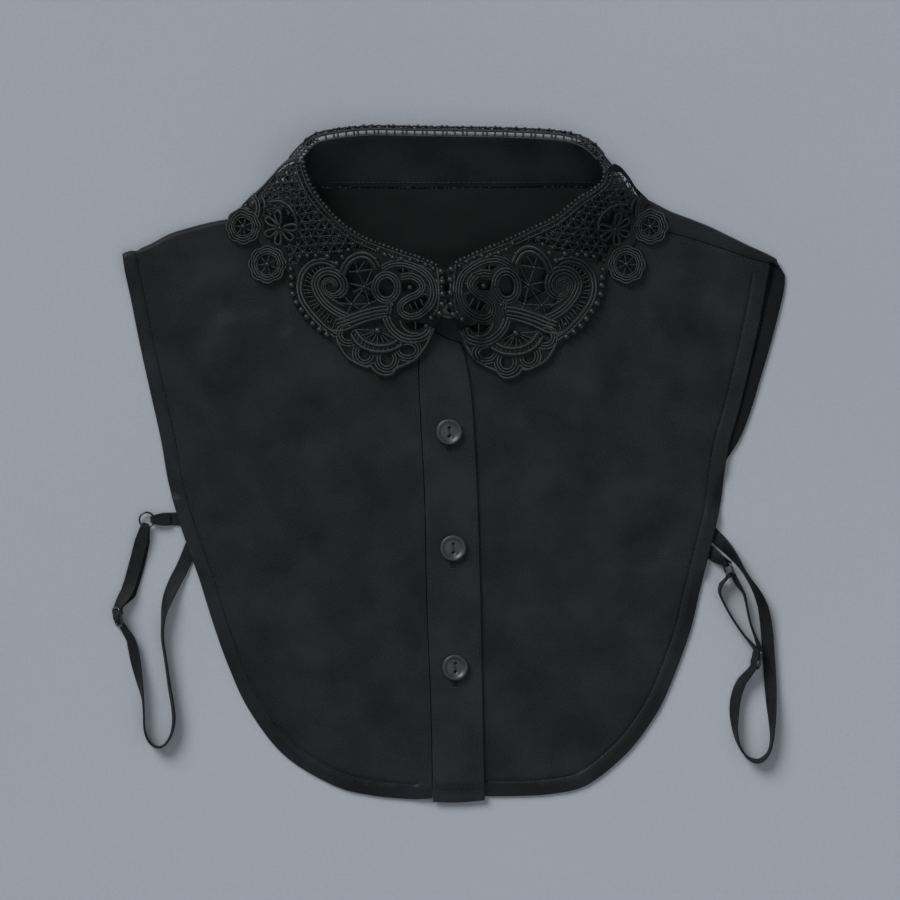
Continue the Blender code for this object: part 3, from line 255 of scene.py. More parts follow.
# Lengths are in millimetres, and drifts are patches and grain per millimetre
faceLook = {
    "darker": (0.0044, 0.0056, 0.0064),
    "lighter": (0.0156, 0.0194, 0.0222),
    # Its large soft patches are partly painted light and shade, standing in for broad soft folds, and partly
    # the uneven tone of pressed sateen
    "drifts": (0.035, 1.3),
    "roughness": 0.46,
    "shine": 0.2,
    "sheen": 0.02,
    "sheenRoughness": 0.45,
    "floatLong": 1.5,
    "floatWide": 0.34,
    "floatShift": 0.4,  # of each row against the one before, as a share of a float
    "floatGap": 0.06,
    "weaveDeep": 0.05,
    "slubs": 0.35,
    "slubDeep": 0.07,
}
# The placket is fused, which makes it smoother; its paler tones are painted sheen, for the light that its
# raised, smoother face gives back
placketSheenLook = dict(faceLook, darker=(0.0066, 0.0080, 0.0090), lighter=(0.0178, 0.0216, 0.0244), shine=0.22)
# The cloth's wrong side, which shows inside the neck and the armhole, is matt; its darker tones are painted
# shade, for the shade inside the neck and under the fronts' edges
wrongShadedLook = dict(faceLook, darker=(0.0026, 0.0034, 0.0036), lighter=(0.0062, 0.0074, 0.0078), roughness=0.8)


def sateen(name, values):
    look, tree, shader = fibre(name, values)
    place = flatPlace(tree)
    mottled(tree, place, values["drifts"], values["darker"], values["lighter"])
    threads = calculated(tree, "SUBTRACT", 1, woven(tree, place, values))
    fine = bumped(tree, threads, values["weaveDeep"])
    slubbed = bumped(tree, noise(tree, place, values["slubs"]), values["slubDeep"], fine)
    tree.links.new(slubbed, shader.inputs["Normal"])
    return look


# Here the drifts are per metre, because they follow the piece and not its cut
laceLook = {
    "darker": (0.0030, 0.0040, 0.0041),
    "lighter": (0.0105, 0.0132, 0.0136),
    "drifts": (120, 900),
    "roughness": 0.42,
    "shine": 0.45,
    "sheen": 0.03,
    "sheenRoughness": 0.4,
    "twist": 0.62,  # length of one turn of the yarn
    "twistDeep": 0.10,
}
# The ground's close stitches between the cords are painted darker, for the shade between the raised cords,
# and shine less
shadedFillLook = dict(laceLook, darker=(0.0016, 0.0021, 0.0022), lighter=(0.0062, 0.0078, 0.0080), shine=0.2)
sewingLook = dict(laceLook, darker=(0.0080, 0.0098, 0.0108), lighter=(0.0190, 0.0230, 0.0250))


def yarn(name, values):
    # Wrapped yarn: the attribute "along" runs with each thread, in millimetres
    look, tree, shader = fibre(name, values)
    mottled(tree, objectPlace(tree), values["drifts"], values["darker"], values["lighter"])
    along = added(tree, "ShaderNodeAttribute", attribute_name="along").outputs["Fac"]
    turns = calculated(tree, "MULTIPLY", along, 2 * math.pi / values["twist"])
    wrapped = bumped(tree, calculated(tree, "SINE", turns), values["twistDeep"] / 2)
    tree.links.new(wrapped, shader.inputs["Normal"])
    return look


webLook = {
    "darker": (0.0026, 0.0030, 0.0034),
    "lighter": (0.0082, 0.0092, 0.0102),
    "drifts": (0.3, 1.6),
    "roughness": 0.5,
    "shine": 0.22,
    "sheen": 0.02,
    "sheenRoughness": 0.4,
    "floatLong": 0.7,
    "floatWide": 0.55,
    "floatShift": 0.5,
    "floatGap": 0.12,
    "weaveDeep": 0.06,
}


def elasticWeb(name, values):
    look, tree, shader = fibre(name, values)
    place = flatPlace(tree)
    mottled(tree, place, values["drifts"], values["darker"], values["lighter"])
    tree.links.new(bumped(tree, woven(tree, place, values), -values["weaveDeep"]), shader.inputs["Normal"])
    return look


buttonLook = {
    "colour": (0.024, 0.030, 0.034),
    "drifts": (90, 600),
    "contrast": (0.8, 1.25),
    "roughness": 0.42,
    "metallic": 0.0,
    "coat": 0.12,
    "coatRoughness": 0.12,
}
metalLook = dict(buttonLook, colour=(0.010, 0.010, 0.012), roughness=0.28, metallic=0.3, coat=0.6)


def glossy(name, values):
    look, tree, _ = newMaterial(name, values["colour"], {
        "Roughness": values["roughness"],
        "Metallic": values["metallic"],
        "Coat Weight": values["coat"],
        "Coat Roughness": values["coatRoughness"],
    })
    tones = [[c * share for c in values["colour"]] for share in values["contrast"]]
    mottled(tree, objectPlace(tree), values["drifts"], *tones)
    return look


sateenBlack = sateen("black sateen", faceLook)
sateenPlacketSheen = sateen("black sateen, placket with painted sheen", placketSheenLook)
sateenWrongSideShaded = sateen("black sateen, wrong side with painted shade", wrongShadedLook)
laceYarn = yarn("lace yarn", laceLook)
laceFillShaded = yarn("lace ground with painted shade", shadedFillLook)
sewingYarn = yarn("sewing thread", sewingLook)
elasticBlack = elasticWeb("black elastic", webLook)
buttonBlack = glossy("polished button", buttonLook)
metalBlack = glossy("black coated metal", metalLook)
print("materials made")


# Meshes and node groups

def tubeFaces(count, sides, closed=False):
    # Faces of a bar whose sections follow each other, with n-gons at its open ends
    i = np.arange(count if closed else count - 1)[:, None]
    j = np.arange(sides)[None]
    here, after, beside = i * sides, (i + 1) % count * sides, (j + 1) % sides
    quads = np.stack([here + j, here + beside, after + beside, after + j], axis=-1)
    faces = quads.reshape(-1, 4).tolist()
    if not closed:
        faces.append(list(range(sides - 1, -1, -1)))
        faces.append(list(range((count - 1) * sides, count * sides)))
    return faces


def finished(piece, nodes=()):
    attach(piece, "root")
    if nodes:
        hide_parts(*nodes)
    return piece


def turnedOut(points, faces):
    # The same faces, all turned round if they look into the piece
    volume = 0
    for face in faces:
        for a, b in zip(face[1:-1], face[2:]):
            volume += points[face[0]] @ np.cross(points[a], points[b])
    return [face[::-1] for face in faces] if volume < 0 else faces


def solid(name, points, faces, look, flat, sharp=50, wrong=()):
    # A closed piece from points in millimetres, with each point's place on the cloth as it was cut and the
    # numbers of the faces that show the cloth's wrong side, which take the darker material with painted shade
    points = np.asarray(points, float)
    mesh = bpy.data.meshes.new(name)
    mesh.from_pydata((points * mm).tolist(), [], turnedOut(points, faces))
    mesh.materials.append(look)
    if len(wrong):
        mesh.materials.append(sateenWrongSideShaded)
        numbers = np.zeros(len(faces), int)
        numbers[wrong] = 1
        mesh.polygons.foreach_set("material_index", numbers)
    layer = mesh.uv_layers.new(name="flat")
    corners = np.zeros(len(mesh.loops), int)
    mesh.loops.foreach_get("vertex_index", corners)
    layer.data.foreach_set("uv", np.asarray(flat, float)[corners].ravel())
    mesh.update()
    piece = bpy.data.objects.new(name, mesh)
    bpy.context.scene.collection.objects.link(piece)
    mesh.shade_smooth()
    mesh.set_sharp_from_angle(angle=math.radians(sharp))
    return piece


def newTree(name, sockets):
    tree = bpy.data.node_groups.new(name, "GeometryNodeTree")
    tree.interface.new_socket("Geometry", in_out="INPUT", socket_type="NodeSocketGeometry")
    for label, kind in (*sockets, ("Material", "NodeSocketMaterial")):
        tree.interface.new_socket(label, in_out="INPUT", socket_type=kind)
    tree.interface.new_socket("Geometry", in_out="OUTPUT", socket_type="NodeSocketGeometry")
    return tree, tree.nodes.new("NodeGroupInput").outputs


def ended(tree, start, geometry):
    # Real meshes, smooth and with the material that the user chose
    real = added(tree, "GeometryNodeRealizeInstances", {"Geometry": geometry})
    smooth = added(tree, "GeometryNodeSetShadeSmooth", {"Geometry": real.outputs[0]})
    inputs = {"Geometry": smooth.outputs[0], "Material": start["Material"]}
    painted = added(tree, "GeometryNodeSetMaterial", inputs)
    added(tree, "NodeGroupOutput", {0: painted.outputs[0]})
    return tree


def threadTree():
    # A round tube along each line, as thick as the line's own radius says
    tree, start = newTree("thread", [("Sides", "NodeSocketInt")])
    length = added(tree, "GeometryNodeSplineParameter").outputs["Length"]
    inputs = {"Geometry": start["Geometry"], "Name": "along", "Value": calculated(tree, "DIVIDE", length, mm)}
    line = added(tree, "GeometryNodeStoreNamedAttribute", inputs)
    ring = added(tree, "GeometryNodeCurvePrimitiveCircle", {"Resolution": start["Sides"], "Radius": 1})
    tube = added(tree, "GeometryNodeCurveToMesh", {
        "Curve": line.outputs[0],
        "Profile Curve": ring.outputs[0],
        "Scale": added(tree, "GeometryNodeInputRadius").outputs[0],
        "Fill Caps": True,
    })
    return ended(tree, start, tube.outputs[0])


def beadTree():
    # A round bead on each point, as large as the point's own size says
    tree, start = newTree("bead", [("Segments", "NodeSocketInt")])
    inputs = {"Segments": start["Segments"], "Rings": 7, "Radius": 1}
    ball = added(tree, "GeometryNodeMeshUVSphere", inputs)
    spread = added(tree, "GeometryNodeInstanceOnPoints", {
        "Points": start["Geometry"],
        "Instance": ball.outputs["Mesh"],
        "Scale": added(tree, "GeometryNodeInputNamedAttribute", {"Name": "size"}).outputs["Attribute"],
    })
    return ended(tree, start, spread.outputs[0])


def stitchTree():
    # Short stitches one after the other along each line
    sockets = [("Spacing", "NodeSocketFloat"), ("Size", "NodeSocketVector"), ("Seed", "NodeSocketInt")]
    tree, start = newTree("stitch row", sockets)
    inputs = {"Curve": start["Geometry"], "Length": start["Spacing"]}
    steps = added(tree, "GeometryNodeResampleCurve", inputs, mode="LENGTH")
    tangent = added(tree, "GeometryNodeInputTangent").outputs[0]
    turned = added(tree, "FunctionNodeAlignRotationToVector", {"Vector": tangent}, axis="X")
    sizes = added(tree, "FunctionNodeRandomValue", {2: 0.88, 3: 1.08, "Seed": start["Seed"]})
    ball = added(tree, "GeometryNodeMeshUVSphere", {"Segments": 8, "Rings": 6, "Radius": 1})
    inputs = {"Geometry": ball.outputs["Mesh"], "Scale": start["Size"]}
    shape = added(tree, "GeometryNodeTransform", inputs)
    spread = added(tree, "GeometryNodeInstanceOnPoints", {
        "Points": steps.outputs[0],
        "Instance": shape.outputs[0],
        "Rotation": turned.outputs[0],
        "Scale": sizes.outputs[1],
    })
    return ended(tree, start, spread.outputs[0])


threadNodes = threadTree()
beadNodes = beadTree()
stitchNodes = stitchTree()


def throughNodes(name, source, tree, values):
    # The mesh that a node group makes of the source, which is then removed
    bpy.context.scene.collection.objects.link(source)
    modifier = source.modifiers.new(tree.name, "NODES")
    modifier.node_group = tree
    for item in tree.interface.items_tree:
        if item.in_out == "INPUT" and item.name in values:
            modifier[item.identifier] = values[item.name]
    graph = bpy.context.evaluated_depsgraph_get()
    mesh = bpy.data.meshes.new_from_object(source.evaluated_get(graph), depsgraph=graph)
    mesh.name = name
    data = source.data
    bpy.data.objects.remove(source)
    (bpy.data.curves if isinstance(data, bpy.types.Curve) else bpy.data.meshes).remove(data)
    piece = bpy.data.objects.new(name, mesh)
    bpy.context.scene.collection.objects.link(piece)
    return finished(piece)


def linesObject(name, lines):
    # lines holds points in millimetres, a radius and whether the line is closed
    data = bpy.data.curves.new(name, "CURVE")
    data.dimensions = "3D"
    for points, radius, closed in lines:
        run = data.splines.new("POLY")
        run.points.add(len(points) - 1)
        run.points.foreach_set("co", np.column_stack([points * mm, np.ones(len(points))]).ravel())
        thick = np.full(len(points), radius * mm)
        if not closed:
            thick[[0, -1]] *= 0.55
        run.points.foreach_set("radius", thick)
        run.use_cyclic_u = closed
    return bpy.data.objects.new(name, data)


class Threads:
    # Round threads that share one piece. Their points are x, y and a height above whatever carries them.
    def __init__(self):
        self.lines = []

    def add(self, line, radius, height=0.0, closed=False):
        line = np.asarray(line, float)
        if line.shape[1] == 2:
            line = np.column_stack([line, np.broadcast_to(height, len(line))])
        self.lines.append((line, radius, closed))

    def band(self, line, ridges, half, height, closed=False):
        # Several ridges side by side, the middle ones highest
        pitch = 2 * half / ridges
        beside = normals(line, closed)
        for k in range(ridges):
            offset = (k - (ridges - 1) / 2) * pitch
            dome = height * (1 - 0.35 * (offset / half) ** 2)
            self.add(line + beside * offset, 0.55 * pitch, dome, closed)

    def ladder(self, first, second, count, radius, height):
        for share in np.linspace(0, 1, count):
            ends = [line[round(share * (len(line) - 1))] for line in (first, second)]
            self.add(np.linspace(*ends, 5), radius, height)

    def make(self, name, look, place=None, sides=8):
        lines = self.lines
        if place:
            lines = [(place(points), radius, closed) for points, radius, closed in lines]
        return throughNodes(name, linesObject(name, lines), threadNodes, {"Sides": sides, "Material": look})


def makeBeads(name, beads, look, place, segments=12):
    # beads holds x, y, height and radius
    beads = np.array(beads, float)
    mesh = bpy.data.meshes.new(name)
    mesh.from_pydata((place(beads[:, :3]) * mm).tolist(), [], [])
    size = mesh.attributes.new("size", "FLOAT", "POINT")
    size.data.foreach_set("value", beads[:, 3] * mm)
    source = bpy.data.objects.new(name, mesh)
    return throughNodes(name, source, beadNodes, {"Segments": segments, "Material": look})


stitch = {
    "spacing": 2.5,
    "length": 2.0,
    "thick": 0.34,
    "seed": 7,
}


def makeStitches(name, lines):
    values = {
        "Spacing": stitch["spacing"] * mm,
        "Size": [stitch["length"] / 2 * mm, stitch["thick"] / 2 * mm, stitch["thick"] / 2 * mm],
        "Seed": stitch["seed"],
        "Material": sewingYarn,
    }
    source = linesObject(name, [(line, 1.0, False) for line in lines])
    return throughNodes(name, source, stitchNodes, values)


# Elastic straps. Each row is x, y, roll in degrees (0 lies flat, 90 stands on edge) and lift above the table.
# The route is the CAD part's own, repeated here in metres.

strap = {
    "wide": 6.5,
    "thick": 1.0,
    "wire": 1.0,
    "rest": 0.1,
    "ringReach": 3.7,
    "bend": 1.45,
    "bendHalf": 2.4,
    "bendSteps": 12,  # in the half turn round the ring's wire
    "ribs": 5,
    "ribDeep": 0.12,
    "flatShare": 0.86,  # of the width, from where the edges are rounded
    "step": 1.1,
    "sliderRoom": 12.5,  # from the slider's centre to where a strap turns into it
    "sliderNip": 0.17,  # share of its width that a strap loses inside the slider
}

loopRows = {
    "left": (
        (-0.1304, -0.0388, 0, 0), (-0.1330, -0.0454, 0, 0), (-0.1358, -0.0519, 4, 0),
        (-0.1393, -0.0586, 14, 0), (-0.1423, -0.0656, 32, 0), (-0.1442, -0.0720, 58, 0),
        (-0.1451, -0.0785, 76, 0), (-0.1453, -0.0870, 80, 0), (-0.1436, -0.0984, 80, 0),
        (-0.1418, -0.1110, 78, 0), (-0.1402, -0.1205, 77, 0), (-0.1397, -0.1280, 78, 0),
        (-0.1410, -0.1346, 84, 0), (-0.1438, -0.1392, 88, 0), (-0.1470, -0.1410, 90, 0),
        (-0.1506, -0.1397, 90, 0), (-0.1532, -0.1360, 91, 0), (-0.1544, -0.1310, 92, 0),
        (-0.1547, -0.1240, 93, 0), (-0.1552, -0.1165, 98, 0), (-0.1570, -0.1070, 122, 0),
        (-0.1588, -0.0980, 142, 0), (-0.1602, -0.0910, 142, 0), (-0.1619, -0.0856, 130, 0),
        (-0.1654, -0.0818, 112, 0),
    ),
    "right": (
        (0.1254, -0.0302, 0, 0), (0.1293, -0.0342, 0, 0), (0.1334, -0.0382, 16, 0),
        (0.1376, -0.0427, 40, 0), (0.1413, -0.0474, 62, 0), (0.1446, -0.0524, 78, 0),
        (0.1479, -0.0575, 76, 0), (0.1510, -0.0625, 62, 0), (0.1534, -0.0675, 48, 0),
        (0.1551, -0.0730, 36, 0), (0.1566, -0.0830, 24, 0), (0.1577, -0.0960, 20, 0),
        (0.1583, -0.1080, 24, 0), (0.1588, -0.1185, 40, 0), (0.1592, -0.1280, 62, 0),
        (0.1591, -0.1365, 80, 0), (0.1576, -0.1432, 84, 0), (0.1540, -0.1473, 76, 0),
        (0.1498, -0.1476, 78, 0), (0.1456, -0.1448, 88, 0), (0.1424, -0.1392, 96, 0),
        (0.1406, -0.1320, 110, 0), (0.1403, -0.1230, 134, 0), (0.1413, -0.1155, 140, 0),
        (0.1436, -0.1090, 136, 0), (0.1464, -0.1050, 120, 0), (0.1489, -0.1031, 108, 0),
    ),
}

doubleRows = {
    "left": (
        ((-0.1560, -0.0380, 0, 0.0023), (-0.1587, -0.0485, 0, 0.0015), (-0.1616, -0.0590, 4, 0.0014),
         (-0.1642, -0.0660, 22, 0.0014), (-0.1658, -0.0696, 40, 0.0014)),
        ((-0.1550, -0.0382, 0, 0), (-0.1572, -0.0485, 0, 0), (-0.1602, -0.0590, 0, 0),
         (-0.1626, -0.0664, 0, 0), (-0.1636, -0.0696, 0, 0)),
    ),
    "right": (
        ((0.1338, -0.0594, 78, 0.0003), (0.1328, -0.0632, 86, 0), (0.1346, -0.0680, 90, 0),
         (0.1380, -0.0744, 90, 0), (0.1422, -0.0810, 90, 0), (0.1466, -0.0870, 88, 0),
         (0.1494, -0.0910, 84, 0)),
        ((0.1424, -0.0600, 76, 0.0003), (0.1452, -0.0646, 86, 0), (0.1466, -0.0710, 90, 0),
         (0.1482, -0.0785, 90, 0), (0.1506, -0.0856, 88, 0), (0.1522, -0.0910, 84, 0)),
    ),
}

tabRows = {
    "left": (
        ((-0.1452, -0.0271, 0, 0.0019), (-0.1418, -0.0270, 0, 0.0014)),
        ((-0.1450, -0.0271, 0, 0), (-0.1380, -0.0269, 0, 0), (-0.1318, -0.0267, 0, 0)),
    ),
    "right": (
        ((0.1324, -0.0469, -34, 0.0019), (0.1304, -0.0450, -20, 0.0015)),
        ((0.1320, -0.0466, -30, 0.0002), (0.1284, -0.0436, -8, 0), (0.1232, -0.0398, 0, 0)),
    ),
}

# Centre x, y, z, heading and lean in degrees
ringAt = {"left": (-153.2, -27.4, 2.1, -104.5, 0), "right": (137.4, -52.2, 4.2, -72.0, 60)}
sliderAt = {"left": (-167.6, -75.8, 4.3, -76.0, 60), "right": (151.3, -96.9, 4.3, -100.0, 60)}
tabTurn = {"left": 106.5, "right": 180}
# Where the upper, the lower and the loop's strap pass the slider's bars: along it and out of its plane
sliderRuns = {
    "left": (
        ((-4.6, -1.3), (-2.3, 0.0), (0.0, 1.2), (1.6, 0.8)),
        ((-4.6, -2.4), (-0.6, -1.7)),
        ((4.6, -1.2), (2.8, -0.8), (1.6, 0.0)),
    ),
    "right": (
        ((-4.6, 1.25), (-1.2, 0.6)),
        ((-4.6, -1.2), (-0.5, -1.2)),
        ((4.6, 1.2), (2.0, 1.25), (0.0, 1.2), (-1.2, 0.4)),
    ),
}
slider = {"long": 10.5, "wide": 8.4, "wire": 1.3, "corner": 2.2}


def inMillimetres(rows):
    return [(x / mm, y / mm, roll, lift / mm) for x, y, roll, lift in rows]


def axes(heading, lean):
    # Unit vectors ahead, across and out of a plane that leans over to the left of its heading
    turn, lean = math.radians(heading), math.radians(lean)
    ahead = np.array([math.cos(turn), math.sin(turn), 0])
    across = np.array([-math.sin(turn) * math.cos(lean), math.cos(turn) * math.cos(lean), math.sin(lean)])
    return ahead, across, np.cross(ahead, across)


def strand(rows):
    # Middle of each station of a strap, and the direction across it
    rows = spline(inMillimetres(rows), strap["step"])
    roll = np.radians(rows[:, 2])
    across = np.column_stack([normals(rows[:, :2]) * np.cos(roll)[:, None], np.sin(roll)])
    z = strap["rest"] + rows[:, 3]
    z += (strap["wide"] * np.abs(np.sin(roll)) + strap["thick"] * np.abs(np.cos(roll))) / 2
    return np.column_stack([rows[:, :2], z]), across


def webProfile():
    # Places across the strap and how far each is from its middle plane, ribbed and with rounded edges
    share = np.linspace(-1, 1, 6 * strap["ribs"] + 1)
    rib = strap["ribDeep"] * (np.cos(math.pi * strap["ribs"] * share) - 1) / 2
    past = (np.abs(share) - strap["flatShare"]).clip(0) / 0.15
    return share, (strap["thick"] / 2 + rib) * np.sqrt(np.clip(1 - past ** 2, 0.12, 1))


def bar(middle, across):
    share, deep = webProfile()
    run = np.gradient(middle, axis=0)
    out = np.cross(across, run)
    out /= np.linalg.norm(out, axis=1)[:, None]
    beside = across[:, None] * (strap["wide"] / 2 * share)[:, None]
    near = middle[:, None] + beside + out[:, None] * deep[:, None]
    far = middle[:, None] + beside - out[:, None] * deep[:, None]
    return np.concatenate([near, far[:, ::-1]], axis=1)


def webSolid(name, sections):
    along = np.r_[0, np.cumsum(np.linalg.norm(np.diff(sections.mean(axis=1), axis=0), axis=1))]
    share = webProfile()[0] * strap["wide"] / 2
    side = np.r_[share, share[::-1]]
    flat = np.stack(np.broadcast_arrays(along[:, None], side[None]), axis=-1).reshape(-1, 2)
    faces = tubeFaces(*sections.shape[:2])
    return solid(name, sections.reshape(-1, 3), faces, elasticBlack, flat)


def placed(points, place):
    *centre, heading, lean = place
    ahead, across, up = axes(heading, lean)
    return np.array(centre) + points @ np.array([ahead, across, up])


def throughSlider(side, run, middle, across):
    # Leaves out what is close to the slider and runs on through its bars instead
    place = sliderAt[side]
    away = np.linalg.norm(middle - place[:3], axis=1) > strap["sliderRoom"]
    middle, across = middle[away], across[away]
    tail = placed(np.array([(ahead, 0, out) for ahead, out in run]), place)
    line = spline(np.concatenate([middle[-2:], tail]), strap["step"])
    share = soft(np.linspace(0, 1, len(line)))[:, None]
    turned = across[-1] * (1 - share) + axes(*place[3:])[1] * share
    turned *= (1 - strap["sliderNip"] * share) / np.linalg.norm(turned, axis=1)[:, None]
    return np.concatenate([middle[:-2], line]), np.concatenate([across[:-2], turned])


def makeSling(name, side, turned, strands):
    # A strap that goes round the ring's wire and back
    *centre, heading, lean = ringAt[side]
    ahead, across, up = axes(heading + turned, -lean if turned == 180 else lean)
    share, deep = webProfile()
    angle = strap["bendHalf"] / strap["ringReach"] * share
    spreads = np.r_[angle, angle[::-1]]
    reaches = np.r_[strap["bend"] + deep, strap["bend"] - deep[::-1]]
    roundWire = []
    for turn in np.radians(np.linspace(90, 270, strap["bendSteps"] + 1)):
        out = strap["ringReach"] + reaches * math.cos(turn)
        section = np.outer(out * np.cos(spreads), ahead) + np.outer(out * np.sin(spreads), across)
        roundWire.append(centre + section + np.outer(reaches * math.sin(turn), up))
    upper, lower = strands
    top = bar(upper[0][::-1], upper[1][::-1])
    bottom = bar(*lower)
    eased = [soft(t) for t in (0.25, 0.5, 0.75)]
    easeIn = [top[-1] + (roundWire[0] - top[-1]) * part for part in eased]
    easeOut = [roundWire[-1] + (bottom[0] - roundWire[-1]) * part for part in eased]
    return webSolid(name, np.concatenate([top, easeIn, roundWire, easeOut, bottom]))


def ringLine(radius, count):
    turns = np.linspace(0, 2 * math.pi, count, endpoint=False)
    return np.column_stack([radius * np.cos(turns), radius * np.sin(turns), np.zeros(count)])


def roundedLine(halfX, halfY, corner):
    runs = []
    for k, (sx, sy) in enumerate(((1, 1), (-1, 1), (-1, -1), (1, -1))):
        runs.append(arc((sx * (halfX - corner), sy * (halfY - corner)), corner, 90 * k, 90 * k + 90, 0.3))
    line = joined(*runs)
    return np.column_stack([line, np.zeros(len(line))])


def makeSlider(side):
    wires = Threads()
    radius = slider["wire"] / 2
    halfX, halfY = slider["long"] / 2 - radius, slider["wide"] / 2 - radius
    wires.add(placed(roundedLine(halfX, halfY, slider["corner"]), sliderAt[side]), radius, closed=True)
    middleBar = np.column_stack([np.zeros(9), np.linspace(-halfY, halfY, 9), np.zeros(9)])
    wires.add(placed(middleBar, sliderAt[side]), radius)
    return wires.make(f"strap_slider_{side}_wire", metalBlack, sides=16)


def makeStrap(side):
    wire = Threads()
    wire.add(placed(ringLine(strap["ringReach"], 56), ringAt[side]), strap["wire"] / 2, closed=True)
    ring = wire.make(f"strap_ring_{side}_wire", metalBlack, sides=16)
    sliderPiece = makeSlider(side)
    *runs, last = sliderRuns[side]
    strands = [throughSlider(side, run, *strand(rows)) for run, rows in zip(runs, doubleRows[side])]
    double = makeSling(f"strap_double_{side}_web", side, 0, strands)
    strands = [strand(rows) for rows in tabRows[side]]
    tab = makeSling(f"strap_tab_{side}_web", side, tabTurn[side], strands)
    middle, across = throughSlider(side, last, *strand(loopRows[side]))
    loop = webSolid(f"strap_loop_{side}_web", bar(middle, across))
    finished(ring, [f"strap_ring_{side}"])
    finished(sliderPiece, [f"strap_slider_{side}"])
    finished(double, [f"strap_double_{side}"])
    finished(tab, [f"strap_tab_{side}"])
    finished(loop, [f"strap_loop_{side}"])


makeStrap("left")
makeStrap("right")


# The cloth's form

form = {
    "cloth": 1.2,
    "seam": 0.35,
    "bandWall": 1.8,
    "placketWall": 1.4,
    "foldRadius": 1.6,
    "laceWall": 1.0,
    "laceRoll": 4.5,
    "level": 2.7,  # of the fronts' underside, where nothing lifts it
    "foldSpill": 1.6,  # how far a fold reaches, in half widths
    "creaseDeep": 1.7,
    "slack": 0.14,  # height of the faint waves all over the fronts
    "shoulderLap": 3.5,  # of the fronts past their folds, under the back panel
    "shoulderEase": 16.0,  # over which the fronts come up to their folded shoulders
    "backEase": 3.6,  # over which they climb the back panel's edge
    "strapWide": 14.0,  # from a strap's middle to where the fronts are down again
    "strapEase": 5.0,
    "strapRoom": 0.8,
    "rimWide": 9.0,
    "seamLift": 1.5,  # of the left front towards the placket's seam
    "seamEase": 14.0,
    "raisedFrom": 101.0,  # places on Y between which the back panel climbs the lace below it
    "raisedTo": 107.0,
}
cloth, seam = form["cloth"], form["seam"]

# Neck band, from its upper end at the centre front, round the neck, to its lower end: x, y, z of its bottom
# edge and x, y, z of its top edge
band = (
    (4.5, 61.0, 7.9, 4.0, 93.5, 17.0),
    (-3.5, 63.8, 7.8, -3.5, 96.0, 17.1),
    (-14.0, 69.5, 7.4, -14.0, 101.5, 16.6),
    (-29.0, 77.5, 6.6, -30.0, 107.0, 16.0),
    (-46.0, 86.5, 6.0, -44.5, 112.5, 17.2),
    (-60.0, 98.0, 5.6, -56.0, 120.0, 20.0),
    (-70.0, 110.0, 5.2, -65.0, 129.5, 22.0),
    (-77.0, 122.0, 6.0, -71.5, 139.0, 23.0),
    (-80.0, 131.0, 7.6, -75.0, 150.0, 22.0),
    (-78.0, 137.2, 5.0, -72.6, 155.4, 20.0),
    (-69.0, 139.0, 3.2, -66.6, 161.0, 16.8),
    (-45.0, 139.0, 2.5, -45.0, 164.3, 15.2),
    (-20.0, 139.0, 2.5, -20.0, 164.2, 15.0),
    (5.0, 139.0, 2.5, 5.0, 163.8, 15.0),
    (30.0, 139.2, 2.5, 30.0, 163.3, 15.0),
    (55.0, 139.6, 2.5, 53.0, 161.8, 15.4),
    (69.0, 139.4, 3.2, 64.6, 158.4, 16.8),
    (79.0, 137.6, 5.0, 71.8, 151.6, 19.8),
    (82.5, 131.0, 7.6, 75.4, 145.0, 22.0),
    (79.0, 121.5, 6.0, 72.5, 138.5, 23.0),
    (70.0, 109.5, 5.0, 62.0, 131.5, 22.0),
    (59.0, 97.5, 5.2, 50.5, 122.5, 20.0),
    (44.0, 87.0, 5.2, 37.0, 116.0, 17.0),
    (28.0, 79.0, 5.2, 25.0, 110.5, 15.2),
    (12.0, 70.5, 5.2, 8.0, 103.5, 14.8),
    (-3.5, 64.9, 5.2, -3.5, 97.2, 14.6),
    (-11.0, 68.7, 5.2, -11.0, 100.8, 14.4),
)

# Edges, x and y
hemLeftPoints = (
    (-165.3, 105.1), (-164.2, 97.0), (-160.7, 80.0), (-156.2, 57.5), (-151.2, 35.0), (-146.2, 12.5),
    (-142.2, -10.0), (-135.7, -32.5), (-127.7, -55.0), (-120.7, -77.5), (-112.7, -100.0),
    (-102.2, -122.5), (-84.7, -145.0), (-60.2, -160.0), (-41.7, -165.0), (-21.7, -167.0), (-10.9, -166.6),
)
hemRightPoints = (
    (157.9, 98.9), (156.4, 90.0), (153.2, 72.5), (148.2, 50.0), (143.2, 29.0), (137.2, 7.5), (133.7, -17.5),
    (130.7, -32.5), (123.2, -62.5), (117.7, -85.0), (106.2, -115.0), (97.7, -130.0), (85.7, -145.0),
    (66.7, -160.0), (48.2, -164.5), (28.2, -165.5), (13.2, -165.5), (-5.0, -165.2),
)
placketSeamPoints = (
    (-17.6, 70.2), (-17.2, 45.0), (-16.2, 22.5), (-14.2, -17.5), (-13.2, -67.5), (-11.2, -117.5),
    (-10.2, -168.4),
)
placketEdgePoints = (
    (5.0, 58.3), (7.7, 45.0), (9.3, 32.5), (10.7, 12.5), (12.2, -17.5), (13.7, -67.5), (14.7, -117.5),
    (15.7, -167.5),
)
underLap = ((-12.0, 64.0), (-10.5, 0.0), (-7.0, -100.0), (-5.0, -165.2))
